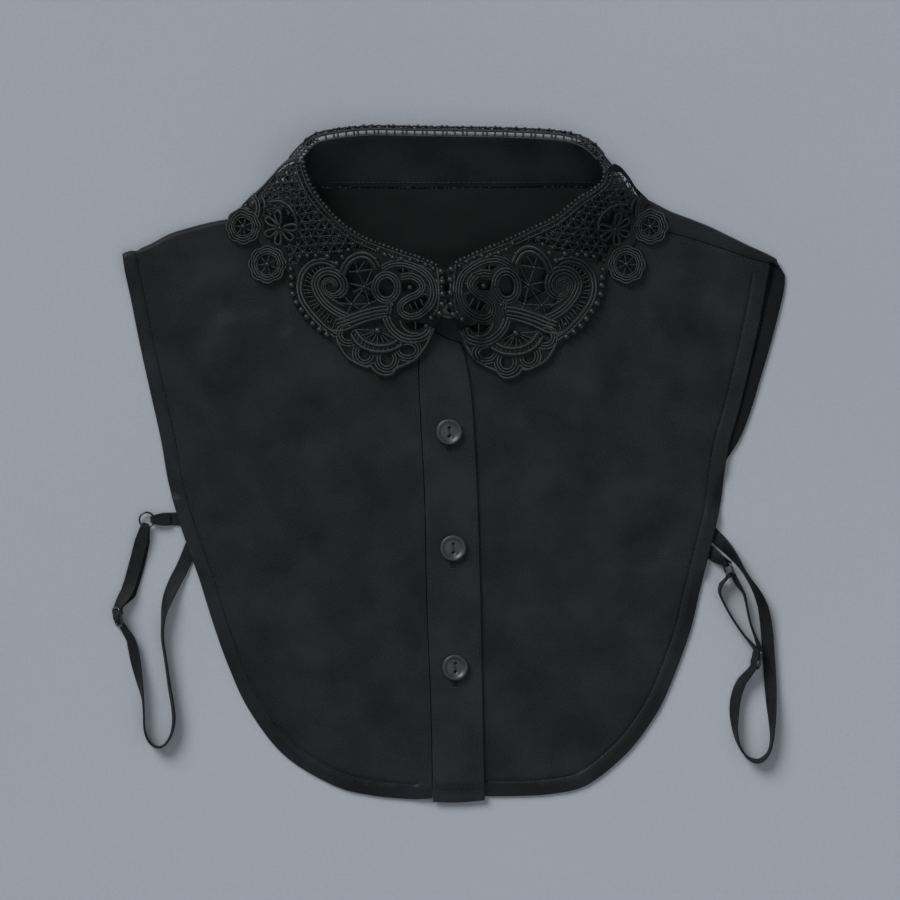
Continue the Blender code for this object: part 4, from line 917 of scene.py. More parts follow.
backRight = (
    (165.7, 95.0), (165.2, 87.5), (161.7, 72.5), (157.7, 57.5), (153.2, 42.5), (148.7, 27.5), (142.7, 12.5),
    (132.0, -5.0), (121.0, -30.0), (112.5, -58.0), (103.0, -92.0), (91.0, -121.0), (72.0, -143.0),
    (48.0, -155.0), (0.0, -158.0), (-40.0, -157.0), (-60.0, -151.0), (-80.0, -139.0), (-96.0, -118.0),
    (-106.0, -96.0), (-114.0, -73.0), (-121.5, -50.0), (-129.5, -28.0), (-136.0, -6.0), (-140.0, 13.0),
    (-145.0, 35.0), (-150.0, 57.0), (-154.5, 80.0), (-157.6, 99.0),
)
shoulderLeft = (
    (-165.6, 105.3), (-153.2, 109.5), (-141.7, 115.5), (-131.7, 118.6), (-121.7, 121.2), (-112.0, 123.0),
    (-104.0, 124.5), (-95.0, 127.3), (-87.0, 131.0), (-81.5, 134.5),
)
shoulderRight = (
    (82.5, 138.5), (90.0, 135.3), (98.2, 132.0), (108.2, 126.8), (118.2, 123.0), (128.2, 119.0),
    (138.2, 114.2), (148.2, 109.3), (158.2, 104.8), (163.5, 101.5),
)
stripNeck = ((86.0, 131.0), (85.2, 127.0))
seamRight = (
    (84.8, 123.0), (95.0, 119.6), (109.2, 115.5), (118.2, 113.0), (133.2, 108.2), (148.2, 103.0),
    (157.5, 100.6),
)

# Soft swellings of the fronts: centre x, y, spread x, y and rise
swells = (
    (-3.0, 72.0, 95.0, 42.0, 2.0),
    (-75.0, 40.0, 52.0, 58.0, 1.2),
    (70.0, 35.0, 50.0, 58.0, 1.1),
    (0.0, -80.0, 90.0, 60.0, 0.5),
)
# Folds: start x, y, end x, y, half width and rise, below zero for a trough
folds = (
    (-88.0, 85.0, -119.0, 80.0, 8.0, -1.0),
    (-119.0, 80.0, -130.0, 60.0, 8.0, -1.1),
    (-104.0, 66.0, -82.0, 62.0, 9.0, 0.8),
    (-132.0, 24.0, -110.0, 4.0, 8.0, -1.0),
    (-122.0, -4.0, -80.0, -18.0, 10.0, -0.8),
    (96.0, 90.0, 118.0, 83.0, 7.0, -1.1),
    (118.0, 83.0, 127.0, 62.0, 7.0, -1.2),
    (94.0, 76.0, 112.0, 68.0, 8.0, 0.8),
    (92.0, 50.0, 93.0, 0.0, 13.0, -1.0),
    (118.0, -22.0, 96.0, -42.0, 9.0, -1.3),
    (96.0, -42.0, 90.0, -70.0, 8.0, -1.0),
    (34.0, -118.0, 37.0, -148.0, 6.0, -0.7),
    (-22.0, -138.0, -20.0, -158.0, 5.0, -0.8),
)
# Lighter creases, each along a curved line: half width, rise and points
creases = (
    (5.0, -0.60, ((-94.0, 72.5), (-88.0, 69.0), (-81.5, 65.0))),
    (2.4, -0.45, ((-71.8, 62.5), (-71.2, 50.0), (-72.2, 32.0))),
    (5.0, -0.90, ((-129.0, 43.0), (-121.0, 30.0), (-114.0, 17.0), (-111.5, 5.0))),
    (4.6, 0.90, ((-125.0, 50.0), (-114.0, 37.0), (-106.0, 21.0))),
    (7.5, 0.60, ((-140.0, 86.0), (-133.0, 74.0), (-139.0, 58.0))),
    (8.0, 0.60, ((-128.0, 93.0), (-112.0, 92.0), (-100.0, 93.0))),
    (5.0, -0.70, ((-134.0, -25.0), (-119.0, -30.0), (-101.5, -32.0))),
    (3.6, -0.80, ((-22.0, 25.0), (-20.5, 15.0), (-17.5, 7.0))),
    (5.0, -0.60, ((-60.0, 20.0), (-48.0, -5.0), (-40.0, -32.0))),
    (5.5, -0.60, ((-98.0, -70.0), (-82.0, -88.0), (-60.0, -98.0))),
    (5.0, -0.55, ((-84.0, -122.0), (-66.0, -132.0), (-46.0, -136.0))),
    (6.0, -1.00, ((86.0, 82.0), (89.0, 60.0), (91.0, 38.0))),
    (6.0, 0.90, ((103.0, 60.0), (107.0, 40.0), (108.0, 15.0))),
    (6.0, 0.80, ((70.0, 62.0), (72.0, 36.0), (71.0, 4.0))),
    (5.0, -0.85, ((93.0, -7.0), (107.0, -10.0), (122.0, -15.0))),
    (3.6, -0.70, ((60.5, -134.0), (61.5, -146.0), (64.0, -158.0))),
    (3.8, -0.70, ((20.0, 36.0), (24.0, 5.0), (23.0, -30.0))),
    (4.6, -0.60, ((48.0, 26.0), (44.0, 0.0), (50.0, -34.0))),
    (5.0, -0.65, ((34.0, -60.0), (52.0, -78.0), (74.0, -86.0))),
    (6.5, 0.65, ((107.0, 76.0), (114.0, 71.0), (118.5, 60.0))),
    (7.0, 0.60, ((130.0, 92.0), (135.0, 78.0), (136.0, 62.0))),
    (5.0, -0.60, ((128.0, 96.0), (122.0, 84.0), (119.0, 70.0))),
)
strapPasses = ((-137.0, -27.0), (-133.0, -44.5), (130.0, -35.0), (128.5, -44.0))
buttonsAt = ((-2.2, 16.5), (-0.2, -41.5), (0.8, -101.0))
collarButtonAt = (-2.2, 79.5)


class Fold:
    # A fold along a line that runs with the folded side on its left: rise is 1 to roll up and -1 to roll down
    def __init__(self, silhouette, rise):
        edge = spline(silhouette, 2.5)
        self.radius = form["foldRadius"]
        self.roll = math.pi * self.radius
        self.line = edge - normals(edge) * (self.radius + cloth / 2)
        self.out = normals(self.line)
        self.rise = rise

    def beyond(self, points):
        _, place, row = nearest(points, self.line)
        low = np.clip(row.astype(int), 0, len(self.out) - 2)
        part = (row - low)[:, None]
        out = self.out[low] * (1 - part) + self.out[low + 1] * part
        return ((points - place) * out).sum(axis=1), place, out

    def unfold(self, points):
        side, place, out = self.beyond(points)
        return place + out * (self.roll - side)[:, None]

    def bend(self, flat):
        # Place of each flat point, its height from the sheet's middle, and the upper side's direction
        side, place, out = self.beyond(flat)
        turned = side > 0
        angle = np.clip(side / self.radius, 0, math.pi)
        along = np.where(side < self.roll, self.radius * np.sin(angle), self.roll - side)
        plan = np.where(turned[:, None], place + out * along[:, None], flat)
        z = np.where(turned, self.rise * self.radius * (1 - np.cos(angle)), 0)
        up = np.where(turned, np.cos(angle), 1.0)
        lean = np.where(turned, -self.rise * np.sin(angle), 0.0)
        return np.column_stack([plan, z]), np.column_stack([out * lean[:, None], up])


def bandStations(step):
    # The band's stations, its outward directions and its bottom line moved out past its own wall
    rows = spline(band, step)
    outer = -np.cross(np.gradient(rows[:, :3], axis=0), rows[:, 3:] - rows[:, :3])
    outer /= np.linalg.norm(outer, axis=1)[:, None]
    away = normals(rows[:, :2])
    away *= np.sign(-(away * (rows[:, 3:5] - rows[:, :2])).sum(axis=1))[:, None]
    wall = seam + form["bandWall"] / 2 * np.linalg.norm(outer[:, :2], axis=1)
    return rows, outer, rows[:, :2] + away * wall[:, None]


# How the band's edge rises where its ends lie one over the other at the centre front
bandLap = {"x": -3.5, "y": 96.0, "reach": 35.0, "rise": 2.3}
# Where the front lace starts and ends along the band's edge: x at the centre front and y at the back
laceReach = {"left": (-7.5, 151.5), "right": (1.0, 146.5)}

foldLeft = Fold(shoulderLeft, -1)
foldRight = Fold(shoulderRight, 1)
bandRows, bandOuter, neckSeam = bandStations(2.0)
topLine = spline([row[3:] for row in band[1:-1]], 2.0)
fromLap = np.hypot(topLine[:, 0] - bandLap["x"], topLine[:, 1] - bandLap["y"])
topLine[:, 2] += bandLap["rise"] * soft(1 - fromLap / bandLap["reach"]) * (topLine[:, 0] > bandLap["x"])
middleRow = len(topLine) // 2
topLeft = topLine[:middleRow, :2]
topLeft = topLeft[(topLeft[:, 0] < laceReach["left"][0]) & (topLeft[:, 1] < laceReach["left"][1])]
topRight = topLine[middleRow:, :2][::-1]
topRight = topRight[(topRight[:, 0] > laceReach["right"][0]) & (topRight[:, 1] < laceReach["right"][1])]


def neckRun(low, high):
    # The panels' neck edge between two of the band's stations
    marks = [nearest(np.array([band[k][:2]]), neckSeam)[2][0] for k in (low, high)]
    return neckSeam[int(round(marks[0])) : int(round(marks[1])) + 1]


hemLeft = spline(hemLeftPoints, 2.5)
hemRight = spline(hemRightPoints, 2.5)
placketSeam = spline(placketSeamPoints, 2.5)
placketEdge = spline(placketEdgePoints, 2.5)
backHem = spline(backRight, 2.5)


def frontLeftOutline():
    shoulder = foldLeft.line[::-1] + foldLeft.out[::-1] * (foldLeft.roll + form["shoulderLap"])
    seamEdge = (placketSeam - [seam, 0])[::-1]
    return joined(neckRun(2, 8)[1:], foldLeft.line[-1:], shoulder, hemLeft, seamEdge[1:])


def frontRightOutline():
    return joined(hemRight, spline(underLap, 2.5)[::-1], neckRun(19, 26)[::-1][1:], spline(seamRight, 2.5))


def backOutline():
    strip = foldRight.unfold(np.vstack([stripNeck, spline(seamRight, 2.5) + [0.12, seam]]))
    left = foldLeft.line - foldLeft.out * (form["shoulderLap"] + seam)
    return joined(neckRun(9, 17)[1:-1], strip, backHem, left[1:])


# Where the two layers lie, as rough outlines that close across the neck
frontFlat = joined(hemLeft, hemRight[::-1], [(150.0, 115.0), (0.0, 175.0), (-150.0, 115.0)])
backFlat = joined(backHem, [(-150.0, 100.0), (-100.0, 122.0), (-80.0, 130.0), (0.0, 139.0)],
                  [(82.0, 138.0), (120.0, 122.0), (163.0, 101.0)])


def backUnderside(points):
    # Flat on the table, but raised along the shoulders, where the back stretch of the lace lies below
    raised = np.clip((points[:, 1] - form["raisedFrom"]) / (form["raisedTo"] - form["raisedFrom"]), 0, 1)
    return (form["laceWall"] + seam) * raised


def foldsOf(points, raisedOnly):
    # Height that the swellings, folds and creases of the fronts add
    height = np.zeros(len(points))
    for cx, cy, wide, tall, rise in swells:
        height += rise * np.exp(-(((points[:, 0] - cx) / wide) ** 2 + ((points[:, 1] - cy) / tall) ** 2))
    for x0, y0, x1, y1, half, rise in folds:
        if rise > 0 or not raisedOnly:
            away = nearest(points, np.array([(x0, y0), (x1, y1)]))[0]
            height += rise * soft(1 - away / half / form["foldSpill"])
    for half, rise, line in creases:
        if rise > 0 or not raisedOnly:
            route = spline(line, 6.0)
            away, _, row = nearest(points, route)
            uneven = np.sin(math.pi * row / (len(route) - 1)) * (0.85 + 0.15 * np.sin(row * 1.9 + half))
            height += form["creaseDeep"] * rise * uneven * soft(1 - away / half / form["foldSpill"])
    return height


def slackOf(points):
    x, y = points.T
    across, along = x / 9.1 + 1.3 * np.sin(y / 21.0), y / 12.7 + 1.1 * np.sin(x / 17.0)
    return form["slack"] * np.sin(across) * np.sin(along)


def frontUnderside(points, dips=True):
    # Height of the underside of the fronts. Stiff lace on them lies across their troughs.
    height = form["level"] + foldsOf(points, raisedOnly=not dips)
    if dips:
        height += slackOf(points)
    shoulder = np.zeros(len(points))
    for fold in (foldLeft, foldRight):
        near = soft(1.2 + fold.beyond(points)[0] / form["shoulderEase"])
        height += (2 * form["foldRadius"] + backUnderside(points) - height) * near
        shoulder = np.maximum(shoulder, near)
    below = (cloth + seam) * soft((signedDistance(points, backFlat) + 4.5) / form["backEase"])
    below += backUnderside(points)
    for spot in strapPasses:
        away = np.hypot(*(points - spot).T)
        over = (strap["thick"] + form["strapRoom"]) * soft((form["strapWide"] - away) / form["strapEase"])
        below = np.maximum(below, over)
    rim = np.minimum(nearest(points, hemLeft)[0], nearest(points, hemRight)[0])
    rim = np.where(inside(points, frontFlat), rim, 0)
    return below + np.maximum(height - below, 0) * np.maximum(soft(rim / form["rimWide"]), shoulder)


def seamLift(points):
    seamX = np.interp(-points[:, 1], -placketSeam[:, 1], placketSeam[:, 0])
    return form["seamLift"] * soft(1 - (seamX - points[:, 0]) / form["seamEase"])


def cover(points):
    # Height that clears both fronts and the placket
    edgeX = np.interp(-points[:, 1], -placketEdge[:, 1], placketEdge[:, 0])
    right = soft(1 - (points[:, 0] - edgeX - 1) / 9)
    step = (form["placketWall"] + seam) * np.minimum(seamLift(points) / form["seamLift"], right)
    return frontUnderside(points, dips=False) + cloth + step


def bandEndTop(points):
    # Height that clears the end of the band that lies uppermost at the centre front
    x, y = points.T
    (x0, y0, z0, _, y1, z1), across = band[0], band[2]
    slope = (across[1] - y0) / (x0 - across[0])
    up = (y - y0 - (x0 - x) * slope) / (y1 - y0)
    rise = np.clip(up, 0, 1)
    over = z0 + (z1 - z0) * rise + 0.7 * np.sin(math.pi * rise) + 0.7 * form["bandWall"]
    return np.where((up > -0.15) & (up < 1.1), over, 0)


def triangulate(loops, lines, grid):
    # Triangles between closed loops, the first the outline and the rest holes, with lines and points in it
    points, edges = [], []
    for loop in loops:
        base = len(points)
        points += [tuple(p) for p in loop]
        edges += [(base + i, base + (i + 1) % len(loop)) for i in range(len(loop))]
    for line in lines:
        base = len(points)
        points += [tuple(p) for p in line]
        edges += [(base + i, base + i + 1) for i in range(len(line) - 1)]
    points += [tuple(p) for p in grid]
    flat, _, faces, *_ = delaunay_2d_cdt(points, edges, [], 0, 1e-6)
    flat = np.array([tuple(p) for p in flat])
    faces = np.array(faces)
    middle = flat[faces].mean(axis=1)
    keep = inside(middle, loops[0])
    for hole in loops[1:]:
        keep &= ~inside(middle, hole)
    faces = faces[keep]
    a, b, c = flat[faces[:, 0]], flat[faces[:, 1]], flat[faces[:, 2]]
    turn = (b[:, 0] - a[:, 0]) * (c[:, 1] - a[:, 1]) - (b[:, 1] - a[:, 1]) * (c[:, 0] - a[:, 0])
    faces[turn < 0] = faces[turn < 0][:, ::-1]
    used, index = np.unique(faces, return_inverse=True)
    return flat[used], index.reshape(faces.shape)


def gridPoints(loops, lines, spacing):
    # Evenly staggered points inside the loops, clear of them and of the lines
    low, high = loops[0].min(axis=0), loops[0].max(axis=0)
    rows = np.arange(low[1] + spacing / 2, high[1], spacing * 0.87)
    columns = np.arange(low[0], high[0], spacing)
    grid = np.array([(x + i % 2 * spacing / 2, y) for i, y in enumerate(rows) for x in columns])
    keep = inside(grid, loops[0])
    for loop in loops:
        keep &= nearest(grid, loop, closed=True)[0] > spacing * 0.45
    for hole in loops[1:]:
        keep &= ~inside(grid, hole)
    for line in lines:
        keep &= nearest(grid, line)[0] > spacing * 0.4
    return grid[keep]


def clothWall(name, loops, lines, spacing, place, look, sharp=50, wrongSide=None):
    # A closed wall: place(points, side) gives its lower side for 0 and its upper side for 1
    flat, faces = triangulate(loops, lines, gridPoints(loops, lines, spacing))
    directed = np.concatenate([faces[:, [0, 1]], faces[:, [1, 2]], faces[:, [2, 0]]])
    known = {tuple(e) for e in directed.tolist()}
    rim = [e for e in known if (e[1], e[0]) not in known]
    below = len(flat)
    everything = faces.tolist() + (faces[:, ::-1] + below).tolist()
    for i, j in rim:
        everything.append((j, i, i + below, j + below))
    points = np.vstack([place(flat, 1), place(flat, 0)])
    wrong = {None: (), 1: np.arange(len(faces)), 0: np.arange(len(faces), 2 * len(faces))}[wrongSide]
    return solid(name, points, everything, look, np.vstack([flat, flat]), sharp, wrong)


def insetLine(outline, run, depth):
    # Stretches of a line a little inside an edge of the outline
    line = run - normals(run) * depth
    keep = inside(line, outline) & (nearest(line, outline, closed=True)[0] > depth * 0.85)
    return runsOf(line, keep)


hem = {
    "wide": 7.5,
    "thicker": 0.42,
    "groove": 0.75,
    "grooveHalf": 0.85,
    "pucker": 0.20,
    "puckerLong": 5.2,
    "rimRound": 0.7,
    "grid": 2.1,
    "backGrid": 3.0,
    "rollSteps": 4,  # in the half turn of a shoulder fold
    "seamIn": 2.2,  # of the topstitching beside the right shoulder's seam
}


def sewnEdge(points, edges):
    # The turned hem's extra layer, the groove of its topstitching and the small puckers beside it
    relief = np.zeros(len(points))
    for edge in edges:
        away, _, row = nearest(points, edge)
        past = away - hem["wide"]
        relief += hem["thicker"] * soft(-past / 1.2)
        relief -= hem["groove"] * np.exp(-((past / hem["grooveHalf"]) ** 2))
        ripple = np.sin(row * 2.5 * 2 * math.pi / hem["puckerLong"] + 2.0 * np.sin(row / 7.0))
        relief += hem["pucker"] * ripple * np.exp(-((past / 2.6) ** 2))
    return relief


def roundedRim(points, outline):
    away = nearest(points, outline, closed=True)[0]
    return np.sqrt(np.clip(1 - (1 - np.clip(away / hem["rimRound"], 0, 1)) ** 2, 0.08, 1))


def panelPlace(height, outline, edges, fold=None, lift=None, relief=None):
    def place(flat, side):
        if fold is None:
            middle = np.column_stack([flat, np.zeros(len(flat))])
            normal = np.tile([0.0, 0.0, 1.0], (len(flat), 1))
        else:
            middle, normal = fold.bend(flat)
        bottom = height(middle[:, :2])
        if lift is not None:
            bottom = bottom + lift(middle[:, :2])
        middle[:, 2] += bottom + cloth / 2
        thick = (side - 0.5) * cloth * roundedRim(flat, outline)
        if side:
            thick = thick + sewnEdge(flat, edges)
            if relief is not None:
                thick = thick + relief(flat)
        return middle + normal * thick[:, None]

    return place


def sewnLines(outline, edges):
    # Lines that give the rim's curve and the topstitching's groove points of their own
    lines = []
    for edge in edges:
        for depth in (0.3, 0.75, hem["wide"] - 0.9, hem["wide"], hem["wide"] + 0.9):
            lines += insetLine(outline, edge, depth)
    return lines


def stitchRows(place, outline, edges, depth):
    # Places of the topstitching on a panel's upper side
    rows = []
    for edge in edges:
        for run in insetLine(outline, edge, depth):
            if len(run) > 4:
                rows.append(onTop(place, spline(run, 1.2)))
    return rows


def sheetOf(outline, withPieces=()):
    area = loopArea(outline) * mm * mm


def backFolds(points):
    # Soft creases of the back panel where it shows inside the neck
    x, y = points.T
    return 0.25 * np.sin(x / 13.0 + 0.8 * np.sin(y / 9.0)) * soft((y - 60) / 40)


def onTop(place, line):
    # Places of a row of stitches that sinks a little into the cloth
    return place(line, 1) + [0, 0, stitch["thick"] * 0.25]


def makePanel(name, outline, edge, place, grid, wrongSide, fold=None, seams=()):
    lines = sewnLines(outline, [edge])
    if fold is not None:
        turns = np.linspace(0, 1, hem["rollSteps"] + 1) * fold.roll
        lines = [fold.line[1:-1] + fold.out[1:-1] * turn for turn in turns] + lines
    piece = clothWall(f"{name}_cloth", [outline], lines, grid, place, sateenBlack, wrongSide=wrongSide)
    finished(piece, [name])
    rows = stitchRows(place, outline, [edge], hem["wide"]) + [onTop(place, line) for line in seams]
    sheetOf(outline, [makeStitches(f"{name}_stitches", rows)])
    print(f"{name} made")
    return piece


def makePanels():
    outline = backOutline()
    place = panelPlace(backUnderside, outline, [backHem], foldRight, relief=backFolds)
    back = makePanel("back_panel", outline, backHem, place, hem["backGrid"], 1, foldRight)

    outline = frontLeftOutline()
    edge = hemLeft[::-1]
    place = panelPlace(frontUnderside, outline, [edge], foldLeft, seamLift)
    left = makePanel("front_left", outline, edge, place, hem["grid"], 0, foldLeft)

    outline = frontRightOutline()
    place = panelPlace(frontUnderside, outline, [hemRight])
    shoulder = spline(seamRight, 2.0) - [0, hem["seamIn"]]
    right = makePanel("front_right", outline, hemRight, place, hem["grid"], 0, seams=[shoulder[2:-2]])
    return back, left, right


placket = {
    "bottom": ((-10.2, -168.4), (3.0, -168.6), (15.7, -167.5)),
    "hemStitch": ((-9.0, -161.0), (14.0, -160.4)),
    "hemThicker": 0.3,
    "stitchIn": 2.2,
    "groove": 0.3,
    "grooveHalf": 0.6,
    "pucker": 0.09,
    "grid": 1.7,
    "holeLong": 15.0,
    "holeWide": 2.6,
    "holeDown": 2.6,  # how far below the button's middle the buttonhole's middle is
    "holePitch": 0.26,  # of its stitches
    "holeThread": 0.17,
    "barThread": 0.24,  # of the bars across its ends
}


def buttonholeInto(threads, x, y):
    # Two close zigzag rows beside the slit and a bar across each end
    middle, half = y - placket["holeDown"], placket["holeLong"] / 2
    turns = np.arange(0, placket["holeLong"], placket["holePitch"])
    reach = np.where(np.arange(len(turns)) % 2, 0.25, placket["holeWide"] / 2)
    across = np.linspace(-1, 1, 7) * placket["holeWide"] / 2
    for side in (-1, 1):
        threads.add(np.column_stack([x + side * reach, middle + half - turns]), placket["holeThread"], 0.1)
    for end in (-1, 1):
        line = np.column_stack([x + across, np.full(7, middle + end * half)])
        threads.add(line, placket["barThread"], 0.12)


def makePlacket(left, right):
    top = neckRun(0, 3)[::-1]
    top = top[(top[:, 0] > -17.0) & (top[:, 0] < 4.6)]
    bottom = spline(placket["bottom"], 2.5)
    outline = joined(placketSeam[:1], top, placketEdge, bottom[::-1], placketSeam[::-1][:-1])
    lines = [
        placketSeam[2:-1] + normals(placketSeam)[2:-1] * placket["stitchIn"],
        placketEdge[2:-1] - normals(placketEdge)[2:-1] * placket["stitchIn"],
        spline(placket["hemStitch"], 2.0),
    ]

    def place(points, side):
        z = frontUnderside(points) + cloth + seam + form["placketWall"] / 2
        z += placket["hemThicker"] * soft((-140 - points[:, 1]) / 12)
        z += (side - 0.5) * form["placketWall"] * roundedRim(points, outline)
        for line in lines if side else ():
            away, _, row = nearest(points, line)
            z -= placket["groove"] * np.exp(-((away / placket["grooveHalf"]) ** 2))
            z += placket["pucker"] * np.sin(row * 2.9) * np.exp(-((away / 2.4) ** 2))
        return np.column_stack([points, z])

    rims = []
    for edge, way in ((placketSeam, 1), (placketEdge, -1)):
        for depth in (0.3, 0.75):
            rim = edge[1:-1] + way * normals(edge)[1:-1] * depth
            rims += runsOf(rim, inside(rim, outline))
    piece = clothWall("placket_cloth", [outline], lines + rims, placket["grid"], place, sateenPlacketSheen)
    finished(piece, ["placket"])
    stitches = makeStitches("placket_stitches", [onTop(place, spline(line, 1.2)) for line in lines])
    holes = Threads()
    for x, y in buttonsAt:
        buttonholeInto(holes, x, y)

    def above(points):
        return place(points[:, :2], 1) + [0, 0, 1] * points[:, 2:]

    buttonholes = holes.make("placket_buttonholes", sewingYarn, above, 6)
    sheetOf(outline, [stitches, buttonholes])
    print("placket made")


neckBand = {
    "across": 14,
    "bulge": 0.7,
    "rimRound": 0.035,  # share of its height
    # share of its run, half width as a share, and depth
    "creases": (
        (0.470, 0.006, 0.9), (0.484, 0.008, -0.5), (0.615, 0.012, 0.9), (0.640, 0.014, -0.7),
        (0.662, 0.010, 0.8), (0.340, 0.020, 0.6), (0.375, 0.018, -0.4), (0.560, 0.020, 0.35),
    ),
    "stitchIn": 0.09,
    "groove": 0.22,
    "grooveHalf": 0.02,
}


def makeBand(back):
    count = neckBand["across"]
    run = np.linspace(0, 1, len(bandRows))
    crease = np.zeros(len(bandRows))
    for centre, half, deep in neckBand["creases"]:
        crease += deep * np.exp(-(((run - centre) / half) ** 2))
    across = np.linspace(0, 1, count)
    fade = np.sin(math.pi * np.clip(across * 0.9 + 0.05, 0, 1)) ** 0.5
    fromRim = np.minimum(across, 1 - across) / neckBand["rimRound"]
    edge = np.sqrt(np.clip(1 - (1 - np.clip(fromRim, 0, 1)) ** 2, 0.15, 1))
    groove = neckBand["groove"] * np.exp(-(((across - neckBand["stitchIn"]) / neckBand["grooveHalf"]) ** 2))
    rises = bandRows[:, 3:] - bandRows[:, :3]
    talls = np.linalg.norm(rises, axis=1)
    length = np.r_[0, np.cumsum(np.linalg.norm(np.diff(bandRows[:, 3:5], axis=0), axis=1))]
    sections, flat = [], []
    for row, rise, tall, outer, fold, at in zip(bandRows, rises, talls, bandOuter, crease, length):
        bulge = neckBand["bulge"] * np.sin(math.pi * across) - fold * fade * across
        middle = row[:3] + rise * across[:, None] + outer * bulge[:, None]
        half = (form["bandWall"] / 2 * edge - groove)[:, None]
        sections.append(np.concatenate([middle + outer * half, (middle - outer * half)[::-1]]))
        high = across * tall
        flat.append(np.column_stack([np.full(2 * count, at), np.r_[high, high[::-1]]]))
    sections = np.array(sections)
    faces = tubeFaces(*sections.shape[:2])
    piece = solid("neck_band_cloth", sections.reshape(-1, 3), faces, sateenBlack, np.concatenate(flat))
    finished(piece, ["neck_band"])
    share = neckBand["stitchIn"]
    inward = form["bandWall"] / 2 - neckBand["bulge"] * math.sin(math.pi * share) - 0.1
    low = bandRows[:, :3] + rises * share - bandOuter * inward
    stitches = makeStitches("neck_band_stitches", [low[2:-2]])
    print("neck band made")


back, left, right = makePanels()
makePlacket(left, right)
makeBand(back)


# Guipure lace of the left front; the right one is the same turned over

laceFoldEdge = (
    (-79.6, 154.0), (-83.0, 152.4), (-88.2, 147.3), (-94.7, 140.0), (-103.2, 132.5), (-107.7, 127.2),
)
laceSideEdge = ((-75.9, 151.9), (-77.4, 152.7))
roundels = ((-104.8, 118.9, 8.8), (-92.8, 100.0, 9.5))
edgeBeads = (
    (-80.7, 93.5), (-80.6, 89.5), (-80.0, 85.2), (-78.2, 80.9), (-75.7, 77.2), (-73.0, 73.7), (-70.0, 70.3),
    (-66.6, 67.5), (-63.0, 65.0),
)
scallopedEdge = (
    (-59.7, 61.5), (-56.7, 57.0), (-53.2, 52.3), (-48.2, 49.5), (-43.2, 47.5), (-40.9, 48.0), (-39.2, 45.0),
    (-34.7, 43.5), (-30.2, 44.0), (-27.4, 47.2), (-22.7, 49.0), (-17.7, 52.0), (-13.7, 57.0), (-10.7, 62.5),
    (-9.6, 69.0),
)
frontBeads = ((-6.6, 75.5), (-5.5, 80.0), (-5.3, 85.0), (-5.3, 90.5), (-6.0, 96.0))
# Other beads: x, y and radius
looseBeads = (
    (-76.2, 104.0, 1.4), (-72.2, 104.6, 1.5), (-68.0, 104.6, 1.4), (-62.2, 104.2, 1.7), (-57.8, 100.6, 1.7),
    (-55.0, 103.8, 1.5), (-52.0, 107.2, 1.4), (-81.0, 97.6, 1.5), (-37.4, 107.2, 1.4), (-34.0, 104.6, 1.5),
    (-30.0, 103.2, 1.5), (-25.8, 102.4, 1.4), (-37.6, 67.0, 2.1), (-21.4, 88.4, 1.5), (-38.6, 102.6, 1.3),
    (-13.4, 69.4, 1.2), (-21.4, 102.0, 1.3), (-17.4, 101.4, 1.2), (-13.6, 99.6, 1.3), (-10.0, 97.6, 1.2),
    (-10.6, 73.6, 1.4), (-8.4, 76.6, 1.2), (-30.2, 80.2, 1.1), (-62.4, 71.2, 1.0),
)
fanArcs = (
    ((-49.0, 67.6), (-45.2, 62.6), (-39.0, 59.8), (-32.2, 60.0), (-27.6, 62.4)),
    ((-51.2, 65.4), (-47.2, 60.0), (-40.2, 56.8), (-31.6, 57.0), (-25.2, 60.2)),
)
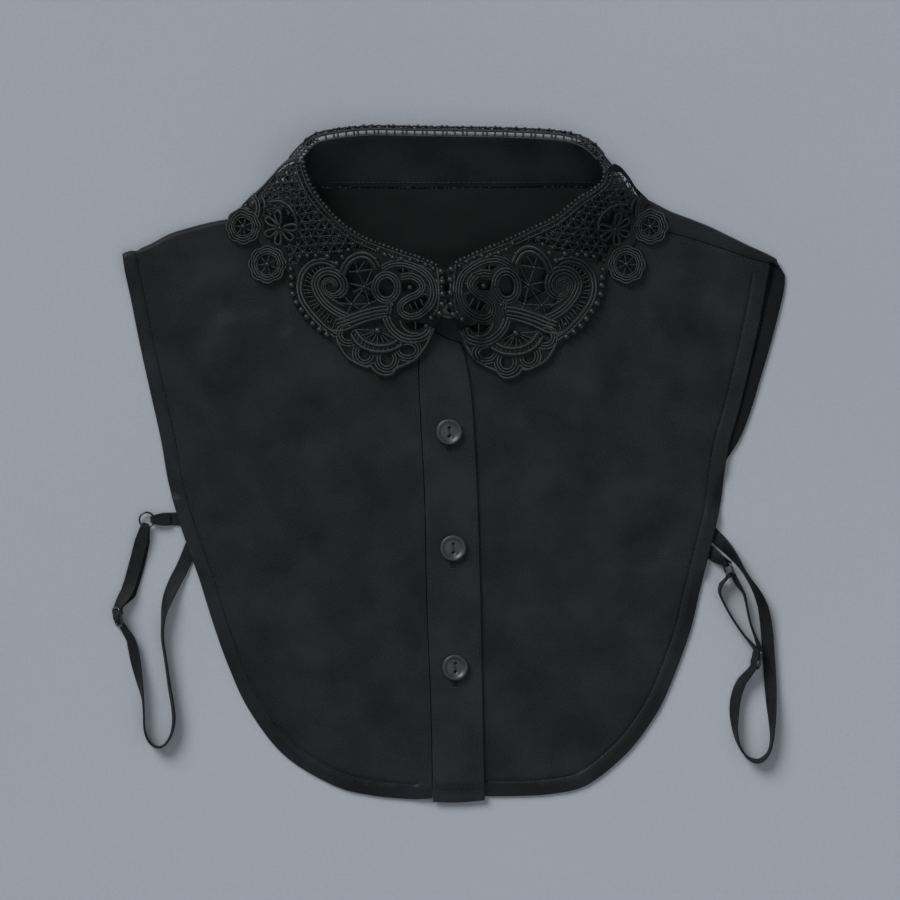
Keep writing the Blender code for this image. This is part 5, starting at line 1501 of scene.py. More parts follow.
# Motif bands: ridges, half width, height and points
motifs = (
    (2, 1.7, 1.0, ((-57.6, 98.6), (-60.6, 100.8), (-65.6, 102.0), (-70.9, 100.3), (-75.2, 95.6),
                   (-76.9, 89.0), (-75.8, 83.0), (-72.6, 77.6), (-68.4, 72.6), (-63.4, 67.8),
                   (-58.0, 64.0))),
    (3, 2.3, 1.05, ((-52.6, 73.6), (-57.4, 75.8), (-62.6, 79.4), (-66.8, 84.4), (-68.8, 90.0),
                    (-66.8, 94.8), (-62.4, 96.9), (-57.4, 95.4), (-54.4, 91.4), (-54.6, 87.0),
                    (-57.8, 84.6))),
    (3, 1.5, 1.1, ((-57.8, 84.6), (-61.2, 84.6), (-64.2, 87.2), (-64.4, 90.6), (-61.8, 92.6), (-58.8, 91.0),
                   (-59.0, 88.4))),
    (1, 0.6, 0.9, ((-54.8, 79.4), (-58.0, 81.4), (-61.6, 83.2))),
    (2, 1.5, 1.05, ((-32.6, 82.6), (-31.6, 78.6), (-32.4, 75.0))),
    (1, 0.75, 1.0, ((-8.2, 98.4), (-7.2, 92.0), (-7.0, 85.0), (-7.6, 78.6), (-9.6, 74.6))),
    (2, 2.0, 1.0, ((-55.4, 94.4), (-53.6, 99.6), (-49.6, 103.6), (-44.6, 104.6), (-40.2, 102.4),
    (-37.2, 97.8))),
    (3, 2.6, 1.0, ((-58.4, 70.2), (-53.6, 71.8), (-46.4, 74.6), (-39.2, 76.6), (-32.4, 77.6))),
    (1, 0.8, 0.9, ((-63.6, 68.2), (-58.4, 66.8), (-53.0, 67.6), (-46.0, 70.8), (-38.6, 73.2),
    (-32.6, 74.4))),
    (3, 1.9, 1.1, ((-35.6, 97.6), (-31.2, 99.9), (-25.6, 100.4), (-19.2, 98.6), (-13.8, 95.4),
                   (-10.2, 90.4), (-9.4, 84.6), (-11.6, 79.0), (-16.2, 75.2), (-21.6, 74.0),
                   (-25.6, 76.2), (-25.8, 80.2), (-22.2, 83.2), (-17.8, 85.0), (-15.0, 88.0),
                   (-16.4, 91.6), (-20.8, 94.0), (-26.2, 93.6))),
    (3, 2.4, 1.05, ((-33.4, 74.2), (-31.8, 70.0), (-28.8, 66.2), (-24.4, 63.4), (-18.8, 62.8),
                    (-13.4, 65.0), (-10.8, 69.4))),
    (1, 0.7, 0.9, ((-26.4, 72.4), (-24.8, 68.6), (-21.4, 66.0), (-17.0, 65.8))),
    (1, 0.9, 0.9, fanArcs[0]),
    (1, 0.9, 0.9, fanArcs[1]),
    (1, 0.85, 1.0, ((-58.2, 62.6), (-55.6, 57.6), (-52.4, 53.4), (-47.8, 50.6), (-43.2, 48.8),
                    (-41.0, 49.2), (-38.6, 46.4), (-34.6, 44.8), (-30.6, 45.4), (-28.0, 48.4),
                    (-23.4, 50.2), (-18.6, 53.0), (-15.0, 57.6), (-12.0, 62.8), (-10.9, 68.6))),
    (2, 1.5, 0.9, ((-100.0, 134.6), (-97.6, 131.0), (-97.4, 126.6), (-98.6, 122.8))),
    (1, 0.8, 0.9, ((-95.4, 134.4), (-93.6, 130.6), (-94.4, 127.0))),
    (1, 0.8, 0.9, ((-91.4, 131.0), (-86.4, 131.6), (-81.8, 129.6), (-78.6, 125.2), (-77.0, 119.4))),
)
ringMotif = (-33.2, 88.5, 5.7, 6.3)  # an ellipse, like the scallops
# Openings of the scalloped edge, as ellipses: centre x, y and half widths
scallops = (
    (-52.2, 65.0, 2.9, 2.5), (-44.2, 55.6, 2.7, 3.1), (-33.2, 52.8, 2.9, 3.2), (-22.7, 57.4, 3.5, 2.4),
)
flower = {
    "centre": (-86.0, 118.4),
    "reach": 8.6,
    "petals": (98, 148, 205, 258, 318, 2),
    "thread": 0.85,
}
# Openings of the ground, each a loop of points
netOpening = (
    (-79.0, 150.6), (-83.6, 149.4), (-88.6, 144.8), (-95.0, 137.6), (-98.4, 133.6), (-95.6, 129.0),
    (-94.6, 121.0), (-94.0, 114.6), (-91.2, 111.4), (-83.4, 107.4), (-81.6, 100.6), (-77.6, 100.0),
    (-75.4, 103.0), (-66.0, 105.4), (-57.4, 105.0), (-52.6, 108.0), (-45.6, 107.6), (-38.0, 105.4),
    (-38.6, 107.6), (-45.6, 110.4), (-57.6, 118.2), (-66.8, 128.0), (-73.2, 138.4), (-76.8, 149.4),
)
starOpening = (
    (-53.2, 95.2), (-50.6, 100.0), (-45.6, 101.8), (-41.4, 100.0), (-39.6, 95.0), (-40.4, 88.0),
    (-38.4, 81.6), (-45.6, 78.4), (-53.2, 75.8), (-57.0, 79.6), (-57.8, 83.4), (-52.4, 87.4),
)
channelOpening = (
    (-59.8, 98.4), (-64.6, 99.6), (-69.4, 98.2), (-73.0, 94.2), (-74.6, 88.6), (-73.2, 82.6), (-70.0, 77.8),
    (-65.4, 72.6), (-60.4, 68.6), (-58.8, 72.2), (-63.4, 76.0), (-68.2, 81.0), (-71.0, 86.6), (-71.4, 92.0),
    (-67.6, 97.0),
)
fanOpening = (
    (-47.6, 69.2), (-44.2, 64.0), (-38.6, 61.4), (-32.4, 61.8), (-31.0, 64.8), (-34.6, 72.2), (-40.6, 72.4),
)
leafOpening = ((-104.4, 129.8), (-102.2, 131.0), (-100.6, 127.8), (-102.8, 128.2))
curlOpening = ((-56.0, 81.6), (-60.6, 82.0), (-64.8, 85.6), (-66.0, 88.4), (-64.0, 84.8), (-60.4, 82.8))
scrollOpenings = (
    ((-29.0, 97.4), (-23.6, 97.6), (-22.0, 95.6), (-26.6, 95.8)),
    ((-26.6, 90.6), (-21.4, 91.4), (-18.0, 89.0), (-19.6, 86.6), (-24.4, 86.4)),
    ((-22.6, 80.6), (-20.8, 77.2), (-15.4, 78.4), (-12.6, 82.8), (-14.2, 84.4)),
    ((-24.6, 70.8), (-21.6, 67.6), (-16.6, 67.4), (-13.8, 70.4), (-18.6, 71.6)),
)
# Star knots and the ends of the bars that meet in them
starSpokes = (
    ((-44.2, 89.0), ((-38.4, 92.6), (-39.2, 86.6), (-50.0, 86.2), (-51.8, 90.6), (-47.4, 96.6),
                     (-41.8, 80.6), (-50.6, 80.2), (-40.2, 97.6))),
    ((-50.6, 80.2), ((-56.8, 80.8), (-53.0, 75.4), (-46.4, 77.6), (-54.6, 84.6), (-41.8, 80.6))),
    ((-41.8, 80.6), ((-37.4, 82.4), (-40.4, 77.4), (-46.4, 77.6))),
    ((-47.4, 96.6), ((-52.6, 96.4), (-49.0, 101.8), (-43.6, 102.4), (-40.2, 97.6))),
)
# Where the fan's ribs meet, the two sides of the ladder in the scroll's channel, and bars across its openings
fanKnot = (-37.6, 67.0)
channelSides = (
    ((-60.0, 99.0), (-66.4, 99.8), (-72.4, 96.4), (-75.0, 89.4), (-73.4, 82.0), (-68.0, 74.8),
     (-60.6, 67.8)),
    ((-60.4, 97.6), (-66.0, 97.2), (-69.8, 94.0), (-71.2, 89.6), (-69.6, 84.0), (-65.0, 77.8),
     (-58.6, 72.6)),
)
scrollBars = (
    ((-22.0, 80.4), (-20.0, 77.4)), ((-19.2, 81.6), (-17.4, 77.6)), ((-16.4, 83.0), (-14.4, 79.4)),
    ((-18.8, 71.8), (-18.6, 66.6)), ((-25.2, 98.6), (-24.6, 94.6)), ((-20.0, 97.6), (-20.6, 94.2)),
    ((-15.2, 94.4), (-17.2, 91.6)), ((-12.0, 89.2), (-15.4, 88.2)), ((-11.8, 84.2), (-15.6, 85.4)),
)
mirrorAt = -6.5

lace = {
    "ground": 0.6,
    "lift": 0.15,  # of the ground's underside above the form
    "grid": 1.1,
    "step": 0.9,
    "netSpacing": 3.9,
    "netAngles": (60, 121, 3),
    "netThread": 0.3,
    "netPair": 0.5,  # half the distance that parts the two threads of a pair between their knots
    "netKnot": 0.85,
    "bar": 0.45,
    "bead": 1.9,
    "beadNeck": 0.9,  # of the ground below a bead
    "scallopRings": (0.5, 1.9, 3.3),  # how far outside its opening
    "scallopThread": 0.68,
    "fanRibs": 8,
    "fanBars": 13,
    "channelBars": 22,
    "foldRows": (0.9, 3.0),  # threads of the ladder along the fold, in from the band's edge
    "foldThread": 0.5,
    "foldBar": 0.42,
    "foldBars": 90,
    "rimStep": 2.3,  # from bead to bead along the fold
    "cut": (0.07, 0.15),  # metres
}


def laceUnderside(points):
    # From the band's top edge down to the fronts, clear of the band and of the collar button
    away, _, row = nearest(points, topLine[:, :2])
    heightAtTop = np.interp(row, np.arange(len(topLine)), topLine[:, 2]) + form["bandWall"] / 2 + 0.55
    share = np.linspace(0, 1, len(band) - 2)
    fall = np.array([1.5 * math.dist(r[:2], r[3:5]) for r in band[1:-1]])
    reach = np.interp(row / (len(topLine) - 1), share, fall)
    base = cover(points) + 0.8
    height = base + (heightAtTop - base) * np.cos(math.pi / 2 * np.clip(away / reach, 0, 1)) ** 2
    end = bandEndTop(points) + 0.35
    height += np.maximum(end - height, 0) * soft(1 - (np.abs(points[:, 0]) - 8) / 9)
    button = np.hypot(points[:, 0] - collarButtonAt[0], points[:, 1] - collarButtonAt[1])
    height += 3.4 * soft((15 - button) / 7)
    rim = nearest(points, spline(laceFoldEdge, 3.0))[0]
    low = form["laceWall"] + seam
    return low + (height - low) * np.sin(math.pi / 2 * np.clip((rim + 0.4) / form["laceRoll"], 0, 1))


def latticeOf(height, low, high, step):
    # Heights and slopes read from an even lattice, which is far quicker than working each one out
    xs = np.arange(low[0], high[0] + step, step)
    ys = np.arange(low[1], high[1] + step, step)
    spots = np.stack(np.meshgrid(xs, ys, indexing="ij"), axis=-1).reshape(-1, 2)
    values = height(spots).reshape(len(xs), len(ys))
    layers = (values, *np.gradient(values, step))

    def read(points):
        at = np.clip((points - low) / step, 0, np.array(values.shape) - 1.001)
        i, j = at.astype(int).T
        s, t = (at - np.floor(at)).T
        found = []
        for layer in layers:
            near = layer[i, j] * (1 - s) + layer[i + 1, j] * s
            far = layer[i, j + 1] * (1 - s) + layer[i + 1, j + 1] * s
            found.append(near * (1 - t) + far * t)
        return found

    return read


def toRight(points):
    # The right half: the left one turned over, its top drawn to the band's right side, its lower part longer
    x, y = points.T
    away, _, row = nearest(points, topLeft)
    share = row / (len(topLeft) - 1) * (len(topRight) - 1)
    near = np.stack([np.interp(row, np.arange(len(topLeft)), column) for column in topLeft.T], axis=1)
    near[:, 0] = mirrorAt - near[:, 0]
    wanted = np.stack([np.interp(share, np.arange(len(topRight)), column) for column in topRight.T], axis=1)
    drawn = (wanted - near) * soft(1 - away / 34)[:, None]
    return np.column_stack([mirrorAt - x, y - 1.4 * soft((95 - y) / 35)]) + drawn


def laceOnForm(right):
    low, high = ((-8.0, 36.0), (118.0, 164.0)) if right else ((-118.0, 36.0), (8.0, 164.0))
    read = latticeOf(laceUnderside, np.array(low), np.array(high), 1.0)

    def place(points):
        plan = toRight(points[:, :2]) if right else points[:, :2]
        z, slopeX, slopeY = read(plan)
        outward = np.column_stack([-slopeX, -slopeY, np.ones(len(plan))])
        outward /= np.linalg.norm(outward, axis=1)[:, None]
        return np.column_stack([plan, z]) + outward * points[:, 2:]

    return place


def ellipse(x, y, halfX, halfY, step=0.9):
    count = max(12, round(2 * math.pi * max(halfX, halfY) / step))
    turns = np.linspace(0, 2 * math.pi, count, endpoint=False)
    return np.column_stack([x + halfX * np.cos(turns), y + halfY * np.sin(turns)])


def beadEdge(beads, side):
    # The outline round a row of beads, seen from one side of the row
    points = []
    rows = np.array(beads)
    for centre, out in zip(rows, normals(rows) * side):
        lean = math.degrees(math.atan2(out[1], out[0]))
        points += [tuple(p) for p in arc(centre, lace["beadNeck"], lean + side * 50, lean - side * 50, 0.8)]
    return np.array(points)


def laceOutline():
    first, second = (np.array(r[:2]) for r in roundels)
    inner = topLeft - normals(topLeft) * 0.7
    return joined(
        inner,
        np.array(laceSideEdge),
        spline(laceFoldEdge, 2.0),
        arc(first, roundels[0][2], 114, 320, 0.8, roundel["lobes"], roundel["lobe"]),
        arc(second, roundels[1][2], 107, 345, 0.8, roundel["lobes"], roundel["lobe"]),
        beadEdge(edgeBeads, -1),
        spline(scallopedEdge, 1.5),
        beadEdge(frontBeads, -1),
    )


def netInto(threads, region, keepOut=()):
    # Families of slanting pairs of threads over a region, each swaying a little. It gives the knots, where
    # the first two families cross.
    low, high = region.min(axis=0), region.max(axis=0)
    centre = (low + high) / 2
    reach = math.dist(low, high) / 2
    spacing = lace["netSpacing"]
    count = math.ceil(reach / spacing)
    numbers = range(-count, count + 1)
    along = np.arange(-reach, reach, lace["step"])
    besides = []

    def covered(points):
        keep = inside(points, region)
        for hole in keepOut:
            keep &= ~inside(points, hole)
        return keep

    for family, angle in enumerate(lace["netAngles"]):
        turn = math.radians(angle)
        ahead = np.array([math.cos(turn), math.sin(turn)])
        beside = np.array([-ahead[1], ahead[0]])
        besides.append(beside)
        height = 0.45 + 0.2 * np.sin(math.pi * along / spacing + family * math.pi)
        for k, pair in ((k, pair) for k in numbers for pair in (-1, 1)):
            sway = 0.3 * np.sin(along / 4.3 + 2.1 * k + family) + 0.2 * np.sin(along / 9.1 + k)
            sway += pair * lace["netPair"] * np.sin(math.pi * along / spacing + 0.7 * k)
            line = centre + np.outer(along, ahead) + np.outer(k * spacing + sway, beside)
            for run in runsOf(np.column_stack([line, height]), covered(line)):
                threads.add(run, lace["netThread"])
    steps = [(i * spacing, j * spacing) for i in numbers for j in numbers]
    crossings = centre + np.linalg.solve(besides[:2], np.transpose(steps)).T
    return [(x, y, 0.55, lace["netKnot"]) for x, y in crossings[covered(crossings)]]


def petal(direction):
    # One loop of the flower, out and back
    turn = math.radians(direction)
    ahead = np.array([math.cos(turn), math.sin(turn)])
    beside = np.array([-ahead[1], ahead[0]])
    reach = flower["reach"]
    shape = ((1.2, 0.0), (4.6, 1.35), (reach - 1.0, 1.5), (reach, 0.0), (reach - 1.0, -1.5), (4.6, -1.35))
    points = [np.array(flower["centre"]) + ahead * a + beside * b for a, b in shape]
    return spline(points, lace["step"], closed=True)


roundel = {
    "lobes": 8,
    "lobe": 0.5,
    "rings": (0.65, 1.95, 3.2),  # how far inside its edge
    "ringThread": 0.66,
    "spokes": 7,
    "knot": 1.6,
}


def roundelInto(threads, beads, x, y, radius, phase):
    for inset in roundel["rings"]:
        lobe = roundel["lobe"] * (1 - inset / 4.5)
        ring = arc((x, y), radius - inset, 0, 360, 0.7, roundel["lobes"], lobe)[:-1]
        threads.add(ring, roundel["ringThread"], 0.95 + 0.08 * inset, closed=True)
    opening = radius - roundel["rings"][-1] - 1.0
    threads.add(arc((x, y), opening, 0, 360, 0.7)[:-1], 0.5, 0.95, closed=True)
    for k in range(roundel["spokes"]):
        turn = phase + k * 2 * math.pi / roundel["spokes"]
        tip = np.array([math.cos(turn), math.sin(turn)])
        threads.add([np.array([x, y]) + tip * reach for reach in np.linspace(0.8, opening, 5)], 0.42, 0.8)
    beads.append((x, y, 0.9, roundel["knot"]))


def scallopsInto(threads):
    # Rings round each scallop's opening, cut off where a neighbour, the fan or the edge is nearer
    centres = np.array([scallop[:2] for scallop in scallops])
    outline = laceOutline()
    fanEdge = joined(spline(fanArcs[1], 1.0) - [0, 1.4], [(-22.0, 66.0), (-34.0, 78.0), (-50.0, 76.0)])
    for k, (x, y, halfX, halfY) in enumerate(scallops):
        for grow in lace["scallopRings"]:
            ring = ellipse(x, y, halfX + grow, halfY + grow)
            own = np.linalg.norm(ring[:, None] - centres, axis=2).argmin(axis=1) == k
            own &= signedDistance(ring, outline) > 0.6
            own &= ~inside(ring, fanEdge)
            if own.all():
                threads.add(ring, lace["scallopThread"], 0.95, closed=True)
            else:
                first = int(np.argmin(own))
                for run in runsOf(np.roll(ring, -first, axis=0), np.roll(own, -first)):
                    threads.add(run, lace["scallopThread"], 0.95)


def barsInto(threads, beads):
    # Ribs of the fan, ladders, stars and the bars across the scroll's openings
    inner, outer = (spline(points, 1.0) for points in fanArcs)
    for share in np.linspace(0, 1, lace["fanRibs"]):
        tip = inner[round(share * (len(inner) - 1))]
        threads.add(np.linspace(fanKnot, tip, 8), lace["bar"], 0.7)
    threads.ladder(inner, outer, lace["fanBars"], lace["bar"], 0.75)
    threads.ladder(*[spline(points, 1.0) for points in channelSides], lace["channelBars"], lace["bar"], 0.7)
    for centre, tips in starSpokes:
        beads.append((*centre, 0.8, 1.1))
        for tip in tips:
            threads.add(np.linspace(centre, tip, 7), lace["bar"], 0.7)
    for ends in scrollBars:
        threads.add(np.linspace(*ends, 5), lace["bar"], 0.8)


def laceMotifs():
    # Every raised thread and bead of one half, before it goes on the form
    threads, beads = Threads(), []
    for ridges, half, height, points in motifs:
        threads.band(spline(points, lace["step"]), ridges, half, height)
    threads.band(ellipse(*ringMotif), 3, 2.0, 1.1, closed=True)
    for k, (x, y, radius) in enumerate(roundels):
        roundelInto(threads, beads, x, y, radius, 0.4 + k)
    for direction in flower["petals"]:
        threads.add(petal(direction), flower["thread"], 1.0, closed=True)
    beads.append((*flower["centre"], 1.2, 1.3))
    scallopsInto(threads)
    barsInto(threads, beads)
    beads += [(x, y, 1.0, lace["bead"]) for x, y in edgeBeads + frontBeads]
    beads += [(x, y, 0.95, radius) for x, y, radius in looseBeads]
    return threads, beads


def laceOpenings():
    cuts = (netOpening, starOpening, channelOpening, fanOpening, leafOpening, curlOpening, *scrollOpenings)
    openings = [np.array(cut) for cut in cuts]
    openings += [ellipse(*scallop) for scallop in scallops]
    openings.append(ellipse(*ringMotif[:2], 3.9, 4.4))
    openings += [ellipse(x, y, radius - 4.4, radius - 4.4) for x, y, radius in roundels]
    return openings


def makeLaceHalf(side):
    place = laceOnForm(side == "right")
    outline, openings = laceOutline(), laceOpenings()

    def wallPlace(points, face):
        return place(np.column_stack([points, np.full(len(points), lace["lift"] + face * lace["ground"])]))

    ground = clothWall(f"lace_{side}_ground", [outline, *openings], [], lace["grid"], wallPlace, laceFillShaded)
    finished(ground, [f"lace_{side}"])
    threads, beads = laceMotifs()
    foldRows = [topLeft + normals(topLeft) * inset for inset in lace["foldRows"]]
    for row in foldRows:
        threads.add(row, lace["foldThread"], 0.8)
    threads.ladder(*foldRows, lace["foldBars"], lace["foldBar"], 0.85)
    cords = threads.make(f"lace_{side}_cords", laceYarn, place)
    net = Threads()
    flowerDisc = ellipse(*flower["centre"], flower["reach"] - 0.8, flower["reach"] - 0.8)
    knots = netInto(net, np.array(netOpening), [flowerDisc])
    netPiece = net.make(f"lace_{side}_net", laceYarn, place, 6)
    for k, (x, y) in enumerate(spline(topLeft - normals(topLeft) * 0.5, lace["rimStep"])):
        beads.append((x, y, 0.6 + 0.25 * math.sin(k * 2.3), 1.05 + 0.2 * math.sin(k * 1.7)))
    beadPiece = makeBeads(f"lace_{side}_beads", beads, laceYarn, place)
    knotPiece = makeBeads(f"lace_{side}_knots", knots, laceYarn, place, 8)
    area = (loopArea(outline) - sum(loopArea(opening) for opening in openings)) * mm * mm
    print(f"lace {side} made")


# The back stretch of the lace, flat under the back panel and turned up round the band

laceBackEdge = (
    (-80.5, 151.0), (-88.0, 146.3), (-94.5, 139.2), (-103.0, 131.7), (-107.2, 124.0), (-104.0, 116.5),
    (-97.0, 114.5), (-91.0, 118.5), (-84.0, 116.5), (-77.0, 112.0), (-69.0, 113.5), (-63.0, 119.0),
    (-55.0, 116.5), (-47.0, 112.0), (-39.0, 113.5), (-32.0, 118.5), (-23.0, 116.0), (-14.0, 111.5),
    (-4.0, 112.0), (5.0, 117.5), (14.0, 116.0), (22.0, 111.8), (31.0, 112.6), (38.0, 118.0),
    (46.0, 115.8), (54.0, 112.0), (62.0, 113.2), (69.0, 118.5), (77.0, 115.5), (86.0, 113.5),
    (95.0, 116.5), (98.5, 123.0), (96.5, 129.5), (91.5, 135.2), (86.0, 139.2), (80.6, 145.4),
)
laceBackEnds = (154.6, 149.0)
# How it turns up: length past its fold, how far out from the band's edge, and how high
laceTurn = (
    (0.0, 0.6, 0.5), (2.6, 3.0, 1.3), (5.0, 3.8, 3.4), (10.0, 3.6, 8.2), (14.8, 2.8, 12.9),
    (18.4, 1.3, 16.0), (21.0, -1.1, 17.2),
)
laceBack = {
    "roundels": ((-73.0, 120.4), (-43.0, 120.6), (-9.0, 120.0), (26.5, 120.2), (58.0, 120.6), (89.0, 122.4)),
    "roundel": 6.8,
    "rings": (0.6, 1.9, 3.1),  # how far inside a roundel's edge
    "spokes": 7,
    "rim": 0.7,  # how far inside the edge its thread runs
    "strips": ((-1.5, 3.7), (15.1, 20.4)),  # open ladders beside the fold and the upper edge
    "barEvery": 3.3,
    "picotEvery": 3.8,
    "picotAt": 11.0,  # past the fold
    "picot": 1.0,
    "over": 1.7,  # how far its upper edge stands above the band's
}
# The short nets that join the back stretch to the halves start this far out and below this place
bridge = {"out": 60.0, "below": 161.0, "bars": 12, "thread": 0.42, "cord": 0.5, "cordsAt": (0.35, 0.7, 1.0)}
# Their outer threads: side, lowest place and points
laceBridges = (
    (-1, 150, ((-82.4, 152.9, 3.5), (-77.6, 158.4, 6.0), (-71.8, 163.2, 9.0))),
    (1, 138, ((68.4, 161.6, 10.0), (78.2, 150.2, 8.0), (87.6, 137.0, 6.0))),
)


def makeBridges():
    threads = Threads()
    for side, low, points in laceBridges:
        beside = (topLine[:, 1] > low) & (topLine[:, 1] < bridge["below"])
        beside &= topLine[:, 0] * side > bridge["out"]
        near, far = topLine[beside] + [0, 0, 1.2], spline(points, 1.2)
        near, far = (line[np.linspace(0, len(line) - 1, bridge["bars"]).round().astype(int)]
                     for line in (near, far))
        threads.ladder(near, far, bridge["bars"], bridge["thread"], 0)
        for share in bridge["cordsAt"]:
            threads.add(near + (far - near) * share, bridge["cord"])
    return threads.make("lace_back_bridges", laceYarn)


def backRoundelInto(threads, beads, spot, phase):
    for inset in laceBack["rings"]:
        threads.add(arc(spot, laceBack["roundel"] - inset, 0, 360, 1.0)[:-1], 0.45, 0.5, closed=True)
    for spoke in np.arange(laceBack["spokes"]) * 2 * math.pi / laceBack["spokes"] + phase:
        tip = np.array([math.cos(spoke), math.sin(spoke)])
        threads.add([np.array(spot) + tip * reach for reach in (0.3, 1.7, 3.4)], 0.3, 0.5)
    beads.append((*spot, 0.5, 0.85))


def laceBackFold():
    # The fold's line and the directions out from it, between the two places where the front lace ends
    edge = topLine[(topLine[:, 1] > 140) & (np.abs(topLine[:, 0]) < 80)]
    endLeft, endRight = laceBackEnds
    edge = edge[(edge[:, 1] > endLeft) | (edge[:, 0] > 0)]
    edge = edge[(edge[:, 1] > endRight) | (edge[:, 0] < 0)]
    out = normals(edge[:, :2])
    return edge, out, edge[:, :2] + out * laceTurn[0][1]


def laceBackPlace(edge, out, start):
    turn = np.array(laceTurn)
    wall = form["laceWall"] / 2
    sectionRun = np.gradient(turn[:, 1:], axis=0)
    sectionRun /= np.linalg.norm(sectionRun, axis=1)[:, None]
    columns = (*turn[:, 1:].T, *sectionRun.T)

    def place(points):
        _, near, row = nearest(points[:, :2], start)
        low = np.clip(row.astype(int), 0, len(out) - 2)
        part = (row - low)[:, None]
        lean = out[low] * (1 - part) + out[low + 1] * part
        past = ((points[:, :2] - near) * lean).sum(axis=1)
        edgeHigh = np.interp(row, np.arange(len(edge)), edge[:, 2]) + laceBack["over"]
        reach, height, runOut, runUp = (np.interp(past, turn[:, 0], column) for column in columns)
        height = turn[0, 2] + (height - turn[0, 2]) * edgeHigh / (turn[-1, 2] - turn[0, 2])
        offset = points[:, 2] - wall
        stands = (past > 0) & (row > 0.01) & (row < len(out) - 1.01)
        plan = near + lean * (reach - turn[0, 1] - offset * runUp)[:, None]
        plan = np.where(stands[:, None], plan, points[:, :2])
        return np.column_stack([plan, np.where(stands, height + offset * runOut, wall + offset)])

    return place


def makeLaceBack():
    edge, out, start = laceBackFold()
    place = laceBackPlace(edge, out, start)
    long = laceTurn[-1][0]
    ends = [start[k] + np.outer(np.arange(2.0, long, 2.0), out[k]) for k in (1, -2)]
    upper = (start + out * long)[1:-1]
    outline = joined(start[:1], ends[0], upper, ends[1][::-1], start[-1:], spline(laceBackEdge, 2.5)[::-1])
    rim = outline - normals(outline, closed=True) * laceBack["rim"]

    spread = laceBack["roundel"] - 0.4
    openings = [ellipse(x, y, spread, spread) for x, y in laceBack["roundels"]]
    for low, high in laceBack["strips"]:
        openings.append(np.concatenate([start + out * low, (start + out * high)[::-1]]))
    net = Threads()
    knots = netInto(net, rim, openings)
    net.add(rim, 0.5, 0.5, closed=True)
    netPiece = net.make("lace_back_ground", laceYarn, place, 6)
    finished(netPiece, ["lace_back"])

    cords, beads = Threads(), []
    for k, spot in enumerate(laceBack["roundels"]):
        backRoundelInto(cords, beads, spot, 0.3 * k)
    fold, away = start[1:-1], out[1:-1]
    along = np.r_[0, np.cumsum(np.linalg.norm(np.diff(fold, axis=0), axis=1))]
    for strip in laceBack["strips"]:
        sides = [fold + away * reach for reach in strip]
        for line in sides:
            cords.add(line, 0.55, 0.5)
        cords.ladder(*sides, round(along[-1] / laceBack["barEvery"]), 0.4, 0.5)
    crest = fold + away * laceBack["picotAt"]
    cords.add(crest, 0.5, -0.3 - 0.5 * np.abs(np.sin(math.pi * along / laceBack["picotEvery"])))
    for number, at in enumerate(np.arange(3, along[-1] - 3, laceBack["picotEvery"])):
        at += 0.7 * math.sin(number * 2.7)
        spot = [np.interp(at, along, column) for column in crest.T]
        beads.append((*spot, -0.8, laceBack["picot"] * (0.82 + 0.18 * math.sin(number * 1.9))))
    cordPiece = cords.make("lace_back_cords", laceYarn, place, 6)
    knotPiece = makeBeads("lace_back_knots", knots + beads, laceYarn, place, 6)
    loopArea(outline) * mm * mm
    makeBridges()
    print("back lace made")


makeLaceHalf("left")
makeLaceHalf("right")
makeLaceBack()


# Buttons

button = {
    "across": 13.0,
    "hole": 0.8,
    "holeApart": 4.0,
    "holeRound": 0.25,
    "threadApart": 0.44,
    "thread": 0.24,
    "rings": (0.0, 1.0, 2.0, 3.0, 3.8, 4.3, 4.7, 5.1, 5.5, 5.9, 6.2, 6.4, 6.5),
    "top": (1.55, 1.56, 1.58, 1.62, 1.70, 1.86, 2.16, 2.44, 2.58, 2.58, 2.42, 2.16, 1.80),
    "underRings": (0.0, 4.4, 5.6, 6.5),
    "under": (0.0, 0.0, 0.2, 0.9),
}


def makeButton(name, centre, tilt):
    outline = arc((0, 0), button["across"] / 2, 0, 360, 0.6)[:-1]
    spots = [(0, side * button["holeApart"] / 2) for side in (-1, 1)]
    holes = [arc(spot, button["hole"], 0, 360, 0.25)[:-1] for spot in spots]
    rings = [arc((0, 0), ring, 0, 360, 0.6) for ring in button["rings"][4:-1]]
    lean = math.radians(tilt)
    turn = np.array([(1, 0, 0), (0, math.cos(lean), math.sin(lean)), (0, -math.sin(lean), math.cos(lean))])

    def place(points, side):
        away = np.hypot(*points.T)
        if side:
            z = np.interp(away, button["rings"], button["top"])
            toHole = np.min([np.hypot(*(points - spot).T) for spot in spots], axis=0) - button["hole"]
            z -= button["holeRound"] * soft(1 - toHole / 0.5)
        else:
            z = np.interp(away, button["underRings"], button["under"])
        return np.column_stack([points, z]) @ turn + centre

    piece = clothWall(f"{name}_disc", [outline, *holes], rings, 0.8, place, buttonBlack, 60)
    finished(piece, [name])
    sewing = Threads()
    for side in (-1, 1):
        y = np.linspace(-button["holeApart"] / 2, button["holeApart"] / 2, 13)
        z = 1.72 - 1.5 * np.clip((np.abs(y) - 1.5) / 0.5, 0, 1) ** 2
        sewing.add(np.column_stack([np.full(13, side * button["threadApart"] / 2), y, z]), button["thread"])
    sewing.make(f"{name}_thread", sewingYarn, lambda points: points @ turn + centre)


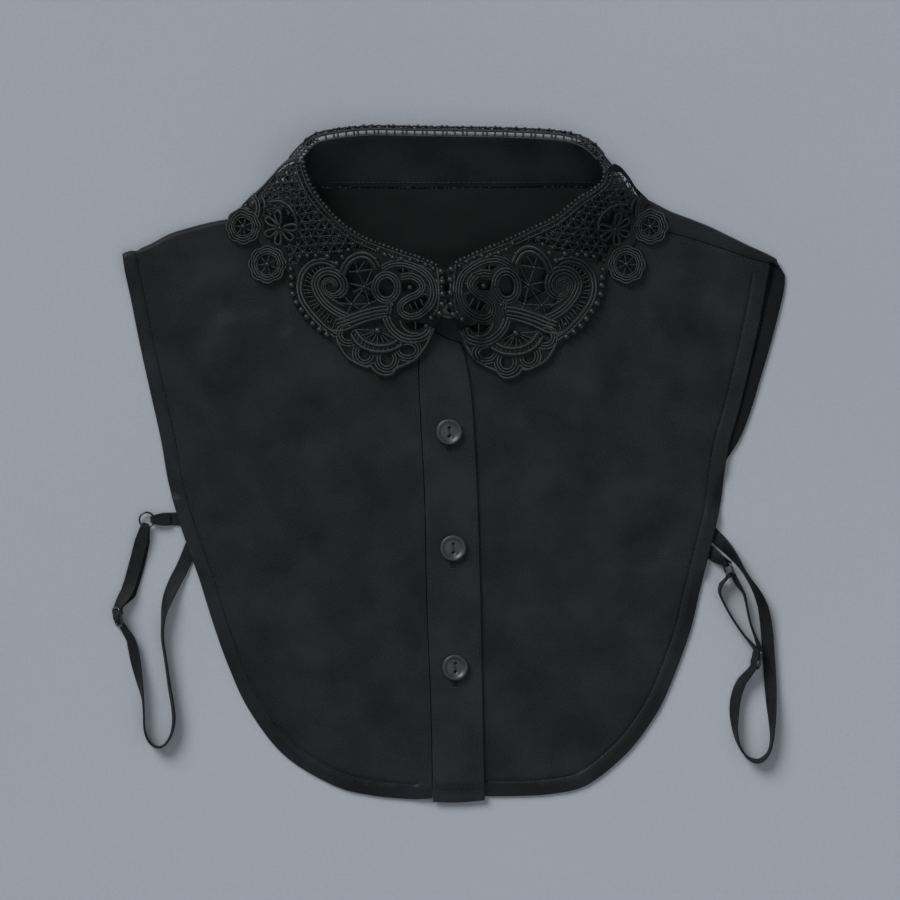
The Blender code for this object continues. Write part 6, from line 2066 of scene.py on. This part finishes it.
def makeButtons():
    ring = arc((0, 0), button["across"] / 2, 0, 360, 3.0)
    for i, spot in enumerate(buttonsAt):
        below = frontUnderside(ring + spot).max() + cloth + seam + form["placketWall"]
        makeButton(f"button_{i + 1}", np.array((*spot, below + 0.15)), 0)
    _, y0, z0, _, y1, z1 = band[0]
    over = bandEndTop(np.array([collarButtonAt]))[0] + seam
    makeButton("collar_button", np.array((*collarButtonAt, over)), math.degrees(math.atan2(z1 - z0, y1 - y0)))
    print("buttons made")


makeButtons()


# Table and light

studio = {
    "tableColour": (0.386, 0.421, 0.469),
    "tableSize": 6.0,  # metres, as is the height of its top
    "tableTop": -0.0002,
    "key": 2.42,
    "keyHigh": 36,  # degrees above the table
    "keyFrom": 128,  # degrees round from +X
    "keySoft": 32,
    "fill": 0.48,
    "fillHigh": 62,
    "fillFrom": -40,
    "fillSoft": 60,
    "ambient": 0.2,
    "ambientColour": (0.88, 0.94, 1.0),
}


def makeTable():
    half, z = studio["tableSize"] / 2, studio["tableTop"]
    mesh = bpy.data.meshes.new("floor")
    corners = [(x * half, y * half, z) for x, y in ((-1, -1), (1, -1), (1, 1), (-1, 1))]
    mesh.from_pydata(corners, [], [(0, 1, 2, 3)])
    tone = studio["tableColour"]
    look, tree, _ = newMaterial("pale table", tone, {"Roughness": 0.85})
    mottled(tree, objectPlace(tree), (2.5, 700), [c * 0.97 for c in tone], [c * 1.03 for c in tone])
    mesh.materials.append(look)
    floor = bpy.data.objects.new("floor", mesh)
    bpy.context.scene.collection.objects.link(floor)


def softLight(name):
    # A broad even light from one side, as from a window with a blind
    data = bpy.data.lights.new(name, "SUN")
    data.energy = studio[name]
    data.angle = math.radians(studio[name + "Soft"])
    light = bpy.data.objects.new(name, data)
    light.rotation_euler = (0, math.radians(90 - studio[name + "High"]), math.radians(studio[name + "From"]))
    bpy.context.scene.collection.objects.link(light)


def makeLight():
    softLight("key")
    softLight("fill")
    world = bpy.data.worlds.new("studio")
    world.use_nodes = True
    ground = world.node_tree.nodes["Background"]
    ground.inputs["Color"].default_value = (*studio["ambientColour"], 1)
    ground.inputs["Strength"].default_value = studio["ambient"]
    bpy.context.scene.world = world
    bpy.context.scene.view_settings.view_transform = "Standard"


makeTable()
makeLight()
print("table and light made")
